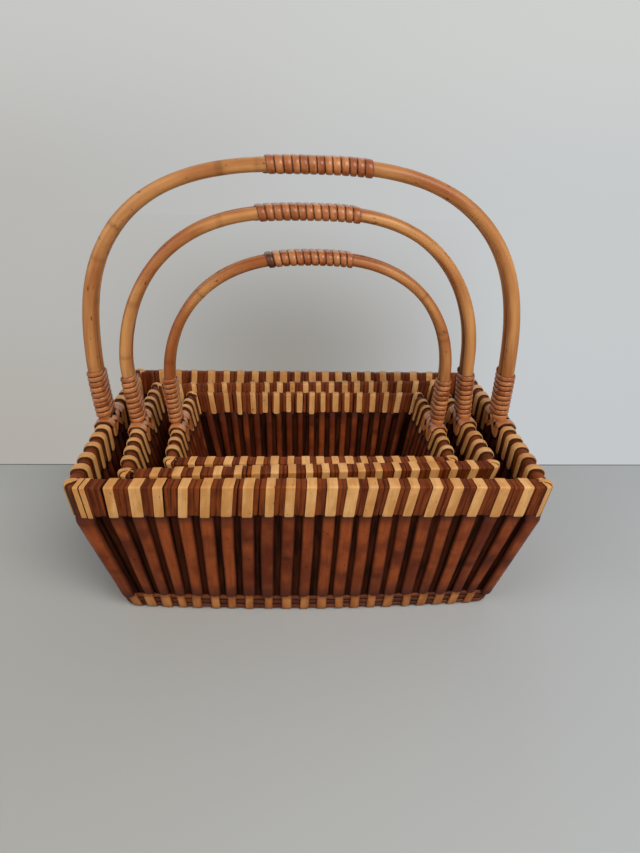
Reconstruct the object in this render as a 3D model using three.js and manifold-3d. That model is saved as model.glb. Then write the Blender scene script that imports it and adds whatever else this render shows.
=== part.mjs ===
// A nesting set of three rectangular willow splint baskets. Each has flared walls of half-round
// stakes, a splint-wrapped rim, a border of three rods and a fixed arched handle of two poles.
// Millimetres. +X runs along the long side to the right, +Y to the back and +Z up. The origin is
// under the middle of the large basket, on the surface it stands on.
import * as THREE from 'three';
import { mergeVertices } from 'three/addons/utils/BufferGeometryUtils.js';
import Module from 'manifold-3d';

const wasm = await Module();
wasm.setup();

// The large basket. Heights are above the surface that the basket itself stands on.
const large = {
  name: 'large',
  rimLength: 408, // outside, left to right
  rimDepth: 287, // outside, front to back
  height: 149.6, // to the top of the rim
  rimWidth: 15, // across the top of the rim
  bandHeight: 36, // of the splints folded over the rim
  sideRimBow: 2.5, // how far the short sides of the rim bulge out
  frontRimBow: -1, // the long sides of the rim draw in
  sideBaseBow: 3,
  frontBaseBow: 7,
  frontStakes: 22,
  sideStakes: 14,
  poleDiameter: 12,
  archRise: 235.6, // from the rim to the middle of the poles at the crown
  springRise: 55, // from the rim to where the arch is widest
  legSpread: 2.5, // how far the arch swells beyond the rim
  shoulderAcross: 2.73, // 2 is an ellipse, and more is squarer
  shoulderUp: 2.67,
  archShift: -4.5, // the bent poles stand a little to one side
  crownLean: -1.4, // further shift of the crown
  leftFootOut: 2, // from the middle of the rim outward to the poles' foot
  rightFootOut: -4,
  gripTurns: 13,
  gripLength: 91,
  gripShift: 10, // from the middle of the handle to the right
  legTurns: 9,
  place: [0, 0],
  yaw: 0,
};

// The medium basket, sized to nest in the large one.
const largeToMedium = { endGap: 18.5, sideGap: 15.5, heightStep: 14.8, riseStep: 34.9 };
const medium = {
  ...nestedSize(large, largeToMedium),
  name: 'medium',
  rimWidth: 14,
  bandHeight: 33,
  sideRimBow: 3,
  frontRimBow: 0,
  sideBaseBow: 2,
  frontBaseBow: 3,
  frontStakes: 20,
  sideStakes: 12,
  poleDiameter: 11,
  springRise: 59.5,
  legSpread: 1.3,
  shoulderAcross: 2.77,
  shoulderUp: 2.02,
  archShift: -4.9,
  crownLean: 2.7,
  leftFootOut: -0.7,
  rightFootOut: -1.7,
  gripTurns: 13,
  gripLength: 92,
  gripShift: 2.7,
  legTurns: 9,
  place: [-2.5, 5],
  yaw: 2.9,
};

// The small basket, sized to nest in the medium one.
const mediumToSmall = { endGap: 19.5, sideGap: 9.5, heightStep: 14.8, riseStep: 35.6 };
const small = {
  ...nestedSize(medium, mediumToSmall),
  name: 'small',
  rimWidth: 13,
  bandHeight: 30,
  sideRimBow: 2,
  frontRimBow: 0,
  sideBaseBow: 2,
  frontBaseBow: 3,
  frontStakes: 18,
  sideStakes: 10,
  poleDiameter: 10,
  springRise: 49,
  legSpread: 4.2,
  shoulderAcross: 2.5,
  shoulderUp: 2.1,
  archShift: -1.2,
  crownLean: 3.1,
  leftFootOut: 1.7,
  rightFootOut: -0.3,
  gripTurns: 12,
  gripLength: 79,
  gripShift: -3.5,
  legTurns: 9,
  place: [1.4, 6.2],
  yaw: 0.6,
  isRibbedInside: true, // its inner stakes show
};

// Sizes that the three baskets share.
const gap = 0.3; // free space between pieces that touch
const flare = 0.215; // how far the walls lean out for each millimetre of height
const cornerRadius = 10;
const tightRadius = 2; // least radius of an inside corner
const splintThickness = 1.8; // the splints folded over the rim
const frontBandChamfer = 2.4; // the long sides of the rim have a crease
const sideBandChamfer = 4.5; // and the short sides are rounder
const hoopChamfer = 4;
const stakeThickness = 4.2;
const stakeCrown = 0.49; // flat top of the stakes' crown, as a share of their spacing
const innerCrown = 0.68;
const stakeInset = 1; // from the band's face back to the stakes' face
const cornerStake = 9; // from the corner to the middle of the last stake
const crowding = 0.1; // the outer stakes crowd together at the foot, and spread at the rim
const rodDiameter = 5.6;
const rodReach = rodDiameter / 2 / Math.cos(Math.PI / 6); // to the corners of its six sides
const rodInset = 1.5;
const floorThickness = 10;
const tailLength = 60; // of the flattened ends of the poles, inside the wall
const tailWidth = 0.75; // as a share of the pole's diameter
const caneThickness = 1.5;
const turnGap = 1; // between neighbouring turns of cane
const legPitch = 5;
const lashingThickness = 1.8;
const lashingReach = 9; // beyond the poles, along the rim
const lashingDrop = 16;

const bowStops = [-1, -0.4, 0.4, 1];
const turnSteps = 8;
const poleSides = 8;
const poleSteps = 24;
const sideNames = ['front', 'right', 'back', 'left'];

const finishes = {
  stake: { color: 0x6b3420, roughness: 0.5 },
  rimWrap: { color: 0x8a5a33, roughness: 0.5 },
  hoop: { color: 0x9a6c3e, roughness: 0.6 },
  rod: { color: 0xa06a35, roughness: 0.55 },
  floor: { color: 0x8c6038, roughness: 0.7 },
  pole: { color: 0xb87a3c, roughness: 0.4 },
  cane: { color: 0xc48a58, roughness: 0.35 },
};

function nestedSize(outer, step) {
  return {
    rimLength: outer.rimLength - 2 * (outer.rimWidth + step.endGap),
    rimDepth: outer.rimDepth - 2 * (outer.rimWidth + step.sideGap),
    height: outer.height - step.heightStep,
    archRise: outer.archRise - step.riseStep,
  };
}

function halfLength(basket, z) {
  return basket.rimLength / 2 - flare * (basket.height - z);
}

function halfDepth(basket, z) {
  return basket.rimDepth / 2 - flare * (basket.height - z);
}

// Bulge of a side at height z and place u, which runs from -1 to 1 between the corners.
function bulge(basket, side, z, u) {
  const isLong = side % 2 === 0;
  const atBase = isLong ? basket.frontBaseBow : basket.sideBaseBow;
  const atRim = isLong ? basket.frontRimBow : basket.sideRimBow;
  const bandFoot = basket.height - basket.bandHeight;
  const amount = atBase + (atRim - atBase) * Math.min(1, z / bandFoot);
  const inside = Math.min(1, Math.max(-1, u));
  const next = Math.max(1, bowStops.findIndex((stop) => stop >= inside));
  const [low, high] = [bowStops[next - 1], bowStops[next]];
  const share = (inside - low) / (high - low);
  return amount * ((1 - low * low) * (1 - share) + (1 - high * high) * share);
}

// Turns a point given along a side and outward from the middle into X and Y.
function toPlan(side, along, out) {
  const turns = [[along, -out], [out, along], [-along, out], [-out, -along]];
  return turns[side];
}

// Points along one side, from mid-corner to mid-corner, at a distance offset from the outline.
function sidePoints(basket, side, offset, z, arcSteps, endGap) {
  const isLong = side % 2 === 0;
  const halfAlong = isLong ? halfLength(basket, z) : halfDepth(basket, z);
  const halfOut = isLong ? halfDepth(basket, z) : halfLength(basket, z);
  const radius = Math.max(cornerRadius + offset, tightRadius);
  const straight = halfAlong + offset - radius;
  const points = [];
  for (let step = arcSteps; step > 0; step--) {
    const turn = (Math.PI / 4) * (step / arcSteps);
    const inset = step === arcSteps ? endGap : 0;
    points.push([-straight - radius * Math.sin(turn) + inset,
      halfOut + offset - radius * (1 - Math.cos(turn))]);
  }
  const corner = points.map(([along, out]) => [-along, out]).reverse();
  const middle = bowStops.map((u) => [u * straight, halfOut + offset + bulge(basket, side, z, u)]);
  return [...points, ...middle, ...corner].map(([along, out]) => toPlan(side, along, out));
}

// A closed mesh through rings of points, open-ended with caps or joined end to end.
function loft(rings, section, isRing) {
  const count = rings[0].length;
  const positions = rings.flat(2);
  const index = [];
  const spans = isRing ? rings.length : rings.length - 1;
  for (let span = 0; span < spans; span++) {
    const here = span * count;
    const there = ((span + 1) % rings.length) * count;
    for (let point = 0; point < count; point++) {
      const next = (point + 1) % count;
      index.push(here + point, here + next, there + next);
      index.push(here + point, there + next, there + point);
    }
  }
  if (!isRing) {
    const contour = section.map(([x, y]) => new THREE.Vector2(x, y));
    const faces = THREE.ShapeUtils.triangulateShape(contour, []);
    const last = (rings.length - 1) * count;
    const isTurned = THREE.ShapeUtils.isClockWise(contour);
    for (const [a, b, c] of faces) {
      const [first, second] = isTurned ? [b, c] : [c, b];
      index.push(a, first, second);
      index.push(last + a, last + second, last + first);
    }
  }
  return facingOut(positions, index);
}

function signedVolume(positions, index) {
  const at = (i) => new THREE.Vector3().fromArray(positions, 3 * i);
  let total = 0;
  for (let i = 0; i < index.length; i += 3) {
    total += at(index[i]).dot(at(index[i + 1]).cross(at(index[i + 2])));
  }
  return total / 6;
}

function facingOut(positions, index) {
  const geometry = new THREE.BufferGeometry();
  geometry.setAttribute('position', new THREE.Float32BufferAttribute(positions, 3));
  geometry.setIndex(signedVolume(positions, index) < 0 ? index.slice().reverse() : index);
  return geometry;
}

function toSolid(geometry) {
  const plain = geometry.clone();
  plain.deleteAttribute('normal');
  plain.deleteAttribute('uv');
  const merged = mergeVertices(plain, 1e-4);
  return new wasm.Manifold(new wasm.Mesh({
    numProp: 3,
    vertProperties: new Float32Array(merged.attributes.position.array),
    triVerts: new Uint32Array(merged.index.array),
  }));
}

function toGeometry(solid) {
  const mesh = solid.getMesh();
  const geometry = new THREE.BufferGeometry();
  geometry.setAttribute('position', new THREE.BufferAttribute(mesh.vertProperties, 3));
  geometry.setIndex(new THREE.BufferAttribute(mesh.triVerts, 1));
  return geometry;
}

// A ring or one side of the basket with the given section of [offset, height] points.
function sweptRound(basket, section, sides, arcSteps, endGap) {
  const isRing = sides.length === 4;
  const rings = [];
  for (const side of sides) {
    const lines = section.map(([offset, z]) => sidePoints(basket, side, offset, z, arcSteps, endGap));
    const stations = lines[0].length - (isRing ? 1 : 0);
    for (let station = 0; station < stations; station++) {
      rings.push(section.map(([, z], point) => [...lines[point][station], z]));
    }
  }
  return loft(rings, section, isRing);
}

// The middle line of the handle, from the left foot over the crown to the right foot.
function handleLine(basket) {
  const rim = basket.height + gap;
  const halfSpan = footPlace(basket, basket.height) + basket.legSpread;
  const spring = basket.height + basket.springRise;
  const rise = basket.archRise - basket.springRise;
  const points = [];
  const stops = 40;
  for (let stop = 0; stop <= stops; stop++) {
    const turn = Math.PI * (1 - stop / stops);
    const across = Math.sign(Math.cos(turn)) * Math.abs(Math.cos(turn)) ** (2 / basket.shoulderAcross);
    const up = Math.abs(Math.sin(turn)) ** (2 / basket.shoulderUp);
    const shift = basket.archShift + basket.crownLean * up;
    points.push(new THREE.Vector3(halfSpan * across + shift, 0, spring + rise * up));
  }
  const legs = [0, 0.3, 0.65]; // shares of the way up to the spring
  const eased = (share) => share * (1.5 - 0.5 * share); // leans out most at the rim
  const leg = (foot, top) => legs.map((share) => new THREE.Vector3(
    foot + (top.x - foot) * eased(share), 0, rim + (spring - rim) * share));
  const leftLeg = leg(-footMiddle(basket, 3), points[0]);
  const rightLeg = leg(footMiddle(basket, 1), points[stops]).reverse();
  const line = new THREE.CatmullRomCurve3([...leftLeg, ...points, ...rightLeg], false, 'centripetal');
  line.arcLengthDivisions = 800;
  return line;
}

// Distance from the middle to the middle of the wall at the handle, at height z.
function footPlace(basket, z) {
  return halfLength(basket, z) - basket.rimWidth / 2 + bulge(basket, 1, z, 0);
}

function footOut(basket, side) {
  return side === 1 ? basket.rightFootOut : basket.leftFootOut;
}

// Distance from the middle to the middle of the poles where they meet the right or left rim.
function footMiddle(basket, side) {
  return footPlace(basket, basket.height) + footOut(basket, side);
}

// The same for the tails, which start half as far off the middle of the wall and run back to it.
function tailMiddle(basket, side, z) {
  const share = (z - basket.height + tailLength) / (tailLength + gap);
  return footPlace(basket, z) + (footOut(basket, side) / 2) * share;
}

function coreThickness(basket) {
  return basket.rimWidth - 2 * (stakeThickness + stakeInset);
}

// The place, and the directions outward and across, at a distance along the handle's line.
function frameAt(line, distance) {
  const share = Math.min(1, Math.max(0, distance / line.getLength()));
  const tangent = line.getTangentAt(share);
  const outward = new THREE.Vector3(-tangent.z, 0, tangent.x);
  return { point: line.getPointAt(share), tangent, outward };
}

// A pole follows the handle's line beside it, with a flattened tail at each end.
function poleGeometry(basket, line, sign) {
  const radius = basket.poleDiameter / 2;
  const middle = sign * (radius + gap / 2);
  const tailHalf = basket.poleDiameter * tailWidth / 2;
  const thickHalf = coreThickness(basket) / 2;
  const corners = [];
  for (let corner = 0; corner < poleSides; corner++) {
    const turn = (2 * Math.PI * (corner + 0.5)) / poleSides;
    corners.push([Math.cos(turn), Math.sin(turn)]);
  }
  const level = (x, z, out, across) => corners.map(([c, s]) => [x + s * out, middle + c * across, z]);
  const rim = basket.height + gap;
  const tailEnd = basket.height - tailLength;
  const rings = [
    level(-tailMiddle(basket, 3, tailEnd), tailEnd, -thickHalf, tailHalf),
    level(-tailMiddle(basket, 3, rim), rim, -thickHalf, tailHalf),
    level(-footMiddle(basket, 3), rim, -radius, radius),
  ];
  const length = line.getLength();
  for (let step = 1; step < poleSteps; step++) {
    const { point, outward } = frameAt(line, (length * step) / poleSteps);
    rings.push(corners.map(([c, s]) => [
      point.x + outward.x * s * radius,
      middle + c * radius,
      point.z + outward.z * s * radius,
    ]));
  }
  rings.push(
    level(footMiddle(basket, 1), rim, radius, radius),
    level(tailMiddle(basket, 1, rim), rim, thickHalf, tailHalf),
    level(tailMiddle(basket, 1, tailEnd), tailEnd, thickHalf, tailHalf),
  );
  return loft(rings, corners, false);
}

// Flat cane wound round both poles in one unbroken run, from a distance along the handle's line.
function windingGeometry(basket, line, start, turns, pitch) {
  const radius = basket.poleDiameter / 2;
  const spread = radius + gap / 2;
  const flat = Math.cos(Math.PI / turnSteps);
  const inner = (radius + gap) / flat;
  const outer = inner + caneThickness / flat;
  const half = (pitch - turnGap) / 2;
  const section = [[-half, inner], [half, inner], [half, outer], [-half, outer]];
  const rings = [];
  for (let step = 0; step <= turns * turnSteps; step++) {
    const turn = (2 * Math.PI * (step + 0.5)) / turnSteps;
    const { point, tangent, outward } = frameAt(line, start + (pitch * step) / turnSteps);
    rings.push(section.map(([along, reach]) => {
      const across = Math.sign(Math.cos(turn)) * spread + Math.cos(turn) * reach;
      const out = Math.sin(turn) * reach;
      const x = point.x + tangent.x * along + outward.x * out;
      const z = point.z + tangent.z * along + outward.z * out;
      return [x, across, z];
    }));
  }
  return { geometry: loft(rings, section, false), rings };
}

// The least distance between neighbouring turns, measured on points between the rings.
function leastTurnGap(rings) {
  const between = [0, 0.25, 0.5, 0.75];
  const points = [];
  for (let ring = 0; ring + 1 < rings.length; ring++) {
    for (const share of between) {
      for (let corner = 0; corner < rings[ring].length; corner++) {
        const from = new THREE.Vector3(...rings[ring][corner]);
        const to = new THREE.Vector3(...rings[ring + 1][corner]);
        points.push({ at: from.lerp(to, share), order: ring + share });
      }
    }
  }
  let least = Infinity;
  for (const one of points) {
    for (const other of points) {
      if (other.order - one.order > turnSteps / 2) {
        least = Math.min(least, one.at.distanceTo(other.at));
      }
    }
  }
  return least;
}

// The space that the poles' tails take in the rim and in the wall, on the left or the right.
function tailSlot(basket, side) {
  const half = coreThickness(basket) / 2 + gap;
  const reach = basket.poleDiameter * (1 + tailWidth) / 2 + 2 * gap;
  const section = [[-half, -reach], [half, -reach], [half, reach], [-half, reach]];
  const levels = [basket.height + splintThickness, basket.height - tailLength - gap];
  const rings = levels.map((z) => section.map(([out, along]) => [
    ...toPlan(side, along, tailMiddle(basket, side, z) + out), z]));
  return toSolid(loft(rings, section, false));
}

function bandSection(basket, side) {
  const top = basket.height;
  const foot = top - basket.bandHeight;
  const width = basket.rimWidth;
  const chamfer = side % 2 === 0 ? frontBandChamfer : sideBandChamfer;
  const under = top - splintThickness;
  const inner = chamfer - splintThickness * (2 - Math.SQRT2);
  return [
    [0, foot],
    [0, top - chamfer],
    [-chamfer, top],
    [chamfer - width, top],
    [-width, top - chamfer],
    [-width, foot],
    [splintThickness - width, foot],
    [splintThickness - width, under - inner],
    [splintThickness + inner - width, under],
    [-splintThickness - inner, under],
    [-splintThickness, under - inner],
    [-splintThickness, foot],
  ];
}

function hoopSection(basket) {
  const top = basket.height - splintThickness - gap;
  const foot = basket.height - basket.bandHeight;
  const outer = -splintThickness - gap;
  const inner = -basket.rimWidth - outer;
  return [
    [outer, foot],
    [outer, top - hoopChamfer],
    [outer - hoopChamfer, top],
    [inner + hoopChamfer, top],
    [inner, top - hoopChamfer],
    [inner, foot],
  ];
}

// A rod's section with a flat under it, given the place of its middle.
function rodSection(offset, z) {
  const corners = [];
  for (let corner = 0; corner < 6; corner++) {
    const turn = (Math.PI * corner) / 3;
    corners.push([offset + rodReach * Math.cos(turn), z + rodReach * Math.sin(turn)]);
  }
  return corners;
}

function borderHeight() {
  return 3 * (rodDiameter + gap);
}

// Where a stake stands at height z, from -1 for the first of its wall to 1 for the last.
function stakeShare(basket, stake, count, z) {
  const even = (2 * stake) / (count - 1) - 1;
  return even * (1 + crowding * (1 - (2 * z) / basket.height) * (1 - even * even));
}

// The outline of one face of a wall at height z: the stakes' crowns with a hollow between them,
// or flush where the face is no higher than the hollow.
function facePoints(basket, side, z, crown, face, hollow, lastStake) {
  const isLong = side % 2 === 0;
  const halfAlong = isLong ? halfLength(basket, z) : halfDepth(basket, z);
  const halfOut = isLong ? halfDepth(basket, z) : halfLength(basket, z);
  const count = isLong ? basket.frontStakes : basket.sideStakes;
  const corner = halfAlong + hollow - gap;
  const points = [[-corner, hollow]];
  if (face !== hollow) {
    const place = (stake) => (halfAlong - lastStake) * stakeShare(basket, stake, count, z);
    for (let stake = 0; stake < count; stake++) {
      const middle = place(stake);
      const half = ((place(stake + 0.5) - place(stake - 0.5)) * crown) / 2;
      points.push([middle - half, face], [middle + half, face]);
      if (stake < count - 1) {
        points.push([place(stake + 0.5), hollow]);
      }
    }
  } else {
    points.push(...bowStops.slice(1, -1).map((u) => [u * corner, hollow]));
  }
  points.push([corner, hollow]);
  return points.map(([along, offset]) => {
    const out = halfOut + offset + bulge(basket, side, z, along / corner);
    return [...toPlan(side, along, out), z];
  });
}

// One wall of stakes joined by a middle ply, open at the top for the poles' tails. The stakes'
// inner faces show only in the small basket, and are drawn flush in the other two.
function wallGeometry(basket, side) {
  const outerFace = -stakeInset;
  const innerFace = stakeInset - basket.rimWidth;
  const outerHollow = outerFace - stakeThickness;
  const innerHollow = basket.isRibbedInside ? innerFace + stakeThickness : innerFace;
  const innerCorner = cornerStake + basket.rimWidth;
  const rings = [borderHeight(), basket.height - basket.bandHeight - gap].map((z) => {
    const outer = facePoints(basket, side, z, stakeCrown, outerFace, outerHollow, cornerStake);
    const inner = facePoints(basket, side, z, innerCrown, innerFace, innerHollow, innerCorner);
    return [...outer, ...inner.reverse()];
  });
  let wall = toSolid(loft(rings, rings[0], false));
  if (side % 2 === 1) {
    wall = wall.subtract(tailSlot(basket, side));
  }
  return toGeometry(wall);
}

// The lashing that ties the poles down: a saddle of cane over the rim with a hole for them.
function lashingGeometry(basket, side) {
  const clear = 2 * gap;
  const width = basket.rimWidth;
  const top = basket.height + gap + lashingThickness;
  const under = basket.height + gap;
  const foot = basket.height - lashingDrop;
  const chamfer = sideBandChamfer;
  const section = [
    [clear + lashingThickness, foot],
    [clear + lashingThickness, top - chamfer - lashingThickness],
    [clear - chamfer / 2, top],
    [chamfer / 2 - clear - width, top],
    [-width - clear - lashingThickness, top - chamfer - lashingThickness],
    [-width - clear - lashingThickness, foot],
    [-width - clear, foot],
    [-width - clear, under - chamfer],
    [chamfer - width - gap, under],
    [gap - chamfer, under],
    [clear, under - chamfer],
    [clear, foot],
  ];
  const reach = basket.poleDiameter + lashingReach;
  const rings = [-reach, reach].map((along) => section.map(([offset, z]) => [
    ...toPlan(side, along, footPlace(basket, z) + width / 2 + offset), z]));
  const saddle = toSolid(loft(rings, section, false));
  return toGeometry(saddle.subtract(poleHole(basket, side)));
}

function poleHole(basket, side) {
  const radius = basket.poleDiameter / 2 + 3 * gap;
  const spread = basket.poleDiameter / 2;
  const outline = new THREE.Shape();
  outline.absarc(0, spread, radius, 0, Math.PI);
  outline.absarc(0, -spread, radius, Math.PI, 2 * Math.PI);
  outline.closePath();
  const depth = 3 * lashingThickness + gap;
  const geometry = new THREE.ExtrudeGeometry(outline, { depth, bevelEnabled: false, curveSegments: 4 });
  const [x, y] = toPlan(side, 0, footMiddle(basket, side));
  geometry.translate(x, y, basket.height - lashingThickness);
  return toSolid(geometry);
}

// The floor is a mat with a kerb that stands inside the border rods, up to the foot of the walls.
function floorGeometry(basket) {
  const edge = -rodInset - rodDiameter / 2 - rodReach - 2 * gap;
  const kerbTop = borderHeight() - gap;
  const outline = (offset, z) => [0, 1, 2, 3].flatMap((side) => sidePoints(
    basket, side, offset, z, 1, 0).slice(0, -1).map(([x, y]) => [x, y, z]));
  const plate = [outline(edge, 0), outline(edge, kerbTop)];
  const hollow = [
    outline(stakeInset - basket.rimWidth, floorThickness),
    outline(stakeInset - basket.rimWidth, kerbTop + gap),
  ];
  const solid = toSolid(loft(plate, plate[0], false));
  return toGeometry(solid.subtract(toSolid(loft(hollow, hollow[0], false))));
}

function willowMesh(name, geometry, finish) {
  const mesh = new THREE.Mesh(geometry, new THREE.MeshStandardMaterial({ ...finish, metalness: 0 }));
  mesh.name = name;
  return mesh;
}

function borderMeshes(basket) {
  const pitch = rodDiameter + gap;
  const outer = -rodInset - rodDiameter / 2;
  return ['lower', 'middle', 'upper'].map((name, level) => {
    const section = rodSection(outer, rodDiameter / 2 + level * pitch);
    const geometry = sweptRound(basket, section, [0, 1, 2, 3], 1, 0);
    return willowMesh(`${basket.name}_${name}_border_rod`, geometry, finishes.rod);
  });
}

function rimMeshes(basket) {
  const meshes = sideNames.map((name, side) => {
    let geometry = sweptRound(basket, bandSection(basket, side), [side], 2, 0.75 * gap);
    if (side % 2 === 1) {
      geometry = toGeometry(toSolid(geometry).subtract(tailSlot(basket, side)));
    }
    return willowMesh(`${basket.name}_${name}_rim_wrap`, geometry, finishes.rimWrap);
  });
  let hoop = toSolid(sweptRound(basket, hoopSection(basket), [0, 1, 2, 3], 1, 0));
  hoop = hoop.subtract(tailSlot(basket, 1)).subtract(tailSlot(basket, 3));
  meshes.push(willowMesh(`${basket.name}_rim_hoop`, toGeometry(hoop), finishes.hoop));
  return meshes;
}

function handleMeshes(basket) {
  const line = handleLine(basket);
  const length = line.getLength();
  const meshes = [['front', -1], ['back', 1]].map(([name, sign]) => willowMesh(
    `${basket.name}_${name}_handle_pole`, poleGeometry(basket, line, sign), finishes.pole));
  const gripPitch = basket.gripLength / basket.gripTurns;
  const legLength = basket.legTurns * legPitch;
  const legStart = lashingThickness + 3 * gap + legPitch / 2;
  const gripStart = (length - basket.gripLength) / 2 + basket.gripShift;
  const windings = [
    ['grip_winding', gripStart, basket.gripTurns, gripPitch],
    ['left_leg_winding', legStart, basket.legTurns, legPitch],
    ['right_leg_winding', length - legStart - legLength, basket.legTurns, legPitch],
  ];
  for (const [name, start, turns, pitch] of windings) {
    const { geometry, rings } = windingGeometry(basket, line, start, turns, pitch);
    const fullName = `${basket.name}_${name}`;
    console.log(`${fullName}: least gap to itself ${leastTurnGap(rings).toFixed(2)} mm`);
    meshes.push(willowMesh(fullName, geometry, finishes.cane));
  }
  for (const side of [1, 3]) {
    const name = `${basket.name}_${sideNames[side]}_lashing`;
    meshes.push(willowMesh(name, lashingGeometry(basket, side), finishes.cane));
  }
  return meshes;
}

function basketGroup(basket, standsAt) {
  const group = new THREE.Group();
  group.add(willowMesh(`${basket.name}_floor`, floorGeometry(basket), finishes.floor));
  group.add(...borderMeshes(basket));
  sideNames.forEach((name, side) => {
    const wall = wallGeometry(basket, side);
    group.add(willowMesh(`${basket.name}_${name}_wall`, wall, finishes.stake));
  });
  group.add(...rimMeshes(basket), ...handleMeshes(basket));
  group.position.set(basket.place[0], basket.place[1], standsAt);
  group.rotation.z = THREE.MathUtils.degToRad(basket.yaw);
  return group;
}

const nestingSet = new THREE.Group();
const nestStep = floorThickness + gap;
[large, medium, small].forEach((basket, level) => {
  nestingSet.add(basketGroup(basket, level * nestStep));
});

export default nestingSet;
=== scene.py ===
# A nesting set of three rectangular willow splint baskets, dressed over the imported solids.
# Lengths are in metres. +X runs along the long side to the right, +Y to the back and +Z up.
import math
import random

import bpy
import numpy as np
from mathutils import Matrix, Vector


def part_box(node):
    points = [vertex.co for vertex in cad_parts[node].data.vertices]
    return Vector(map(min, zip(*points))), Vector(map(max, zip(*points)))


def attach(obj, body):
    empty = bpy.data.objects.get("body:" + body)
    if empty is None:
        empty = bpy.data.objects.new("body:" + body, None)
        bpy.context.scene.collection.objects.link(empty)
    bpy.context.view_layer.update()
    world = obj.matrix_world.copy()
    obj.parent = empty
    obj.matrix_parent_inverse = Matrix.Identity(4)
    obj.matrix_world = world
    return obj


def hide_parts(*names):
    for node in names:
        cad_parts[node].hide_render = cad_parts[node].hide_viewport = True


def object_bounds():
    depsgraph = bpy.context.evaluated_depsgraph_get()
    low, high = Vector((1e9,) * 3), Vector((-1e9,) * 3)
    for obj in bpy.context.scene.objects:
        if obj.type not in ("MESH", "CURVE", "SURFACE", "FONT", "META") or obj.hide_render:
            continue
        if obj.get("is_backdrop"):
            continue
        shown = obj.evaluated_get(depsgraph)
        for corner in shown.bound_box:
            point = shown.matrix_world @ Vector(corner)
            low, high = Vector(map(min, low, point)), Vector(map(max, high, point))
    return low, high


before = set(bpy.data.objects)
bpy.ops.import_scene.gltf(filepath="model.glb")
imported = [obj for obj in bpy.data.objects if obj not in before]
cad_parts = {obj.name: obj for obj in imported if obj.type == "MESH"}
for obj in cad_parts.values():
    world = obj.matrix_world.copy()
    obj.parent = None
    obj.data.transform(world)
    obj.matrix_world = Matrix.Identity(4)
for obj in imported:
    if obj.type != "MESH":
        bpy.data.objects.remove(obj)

mm = 0.001
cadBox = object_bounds()

# The three baskets. The two nested ones take their sizes from the one around them.
largeBasket = {
    "name": "large",
    "rimLength": 408 * mm, "rimDepth": 287 * mm, "height": 149.6 * mm, "rimWidth": 15 * mm,
    "bandHeight": 36 * mm,
    "sideRimBow": 2.5 * mm, "frontRimBow": -1 * mm, "sideBaseBow": 3 * mm, "frontBaseBow": 7 * mm,
    "frontStakes": 22, "sideStakes": 14, "lightWidth": 8.9 * mm, "fullness": 5 * mm,
    "footSlide": 3.6 * mm, "rimSlide": 7.4 * mm, "rimSwing": 4 * mm, "hasUnevenCorners": True,
    "poleDiameter": 12 * mm, "archRise": 235.6 * mm, "springRise": 55 * mm, "legSpread": 2.5 * mm,
    "shoulderAcross": 2.73, "shoulderUp": 2.67,
    "archShift": -4.5 * mm, "crownLean": -1.4 * mm,
    "leftFootOut": 2 * mm, "rightFootOut": -4 * mm,
    "gripTurns": 13, "gripLength": 91 * mm, "gripShift": 10 * mm,
    "poleTone": 0.8, "hasKnot": False, "place": (0, 0), "yaw": 0,
}


def nestedIn(outer, endGap, sideGap, heightStep, riseStep):
    return {
        "rimLength": outer["rimLength"] - 2 * (outer["rimWidth"] + endGap),
        "rimDepth": outer["rimDepth"] - 2 * (outer["rimWidth"] + sideGap),
        "height": outer["height"] - heightStep,
        "archRise": outer["archRise"] - riseStep,
        "frontRimBow": 0, "sideBaseBow": 2 * mm, "frontBaseBow": 3 * mm, "fullness": 0,
        "footSlide": 0, "rimSwing": 0, "hasUnevenCorners": False,
    }


mediumBasket = {
    **nestedIn(largeBasket, 18.5 * mm, 15.5 * mm, 14.8 * mm, 34.9 * mm),
    "name": "medium", "rimWidth": 14 * mm, "bandHeight": 33 * mm, "sideRimBow": 3 * mm,
    "frontStakes": 20, "sideStakes": 12, "lightWidth": 7.4 * mm, "rimSlide": 3 * mm,
    "poleDiameter": 11 * mm, "springRise": 59.5 * mm, "legSpread": 1.3 * mm,
    "shoulderAcross": 2.77, "shoulderUp": 2.02,
    "archShift": -4.9 * mm, "crownLean": 2.7 * mm,
    "leftFootOut": -0.7 * mm, "rightFootOut": -1.7 * mm,
    "gripTurns": 13, "gripLength": 92 * mm, "gripShift": 2.7 * mm,
    "poleTone": 0.7, "hasKnot": False, "place": (-2.5 * mm, 5 * mm), "yaw": 2.9,
}
smallBasket = {
    **nestedIn(mediumBasket, 19.5 * mm, 9.5 * mm, 14.8 * mm, 35.6 * mm),
    "name": "small", "rimWidth": 13 * mm, "bandHeight": 30 * mm, "sideRimBow": 2 * mm,
    "frontStakes": 18, "sideStakes": 10, "lightWidth": 7 * mm, "rimSlide": 0,
    "poleDiameter": 10 * mm, "springRise": 49 * mm, "legSpread": 4.2 * mm,
    "shoulderAcross": 2.5, "shoulderUp": 2.1,
    "archShift": -1.2 * mm, "crownLean": 3.1 * mm,
    "leftFootOut": 1.7 * mm, "rightFootOut": -0.3 * mm,
    "gripTurns": 12, "gripLength": 79 * mm, "gripShift": -3.5 * mm,
    "poleTone": 0.3, "hasKnot": True, "place": (1.4 * mm, 6.2 * mm), "yaw": 0.6,
}
baskets = (largeBasket, mediumBasket, smallBasket)
for basket in baskets:
    basket["body"] = f"{basket['name']}_basket"
    basket["standsAt"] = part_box(f"{basket['name']}_floor")[0].z
    basket["bandFoot"] = basket["height"] - basket["bandHeight"]
    basket["turn"] = Matrix.Rotation(math.radians(basket["yaw"]), 3, "Z")

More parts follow.
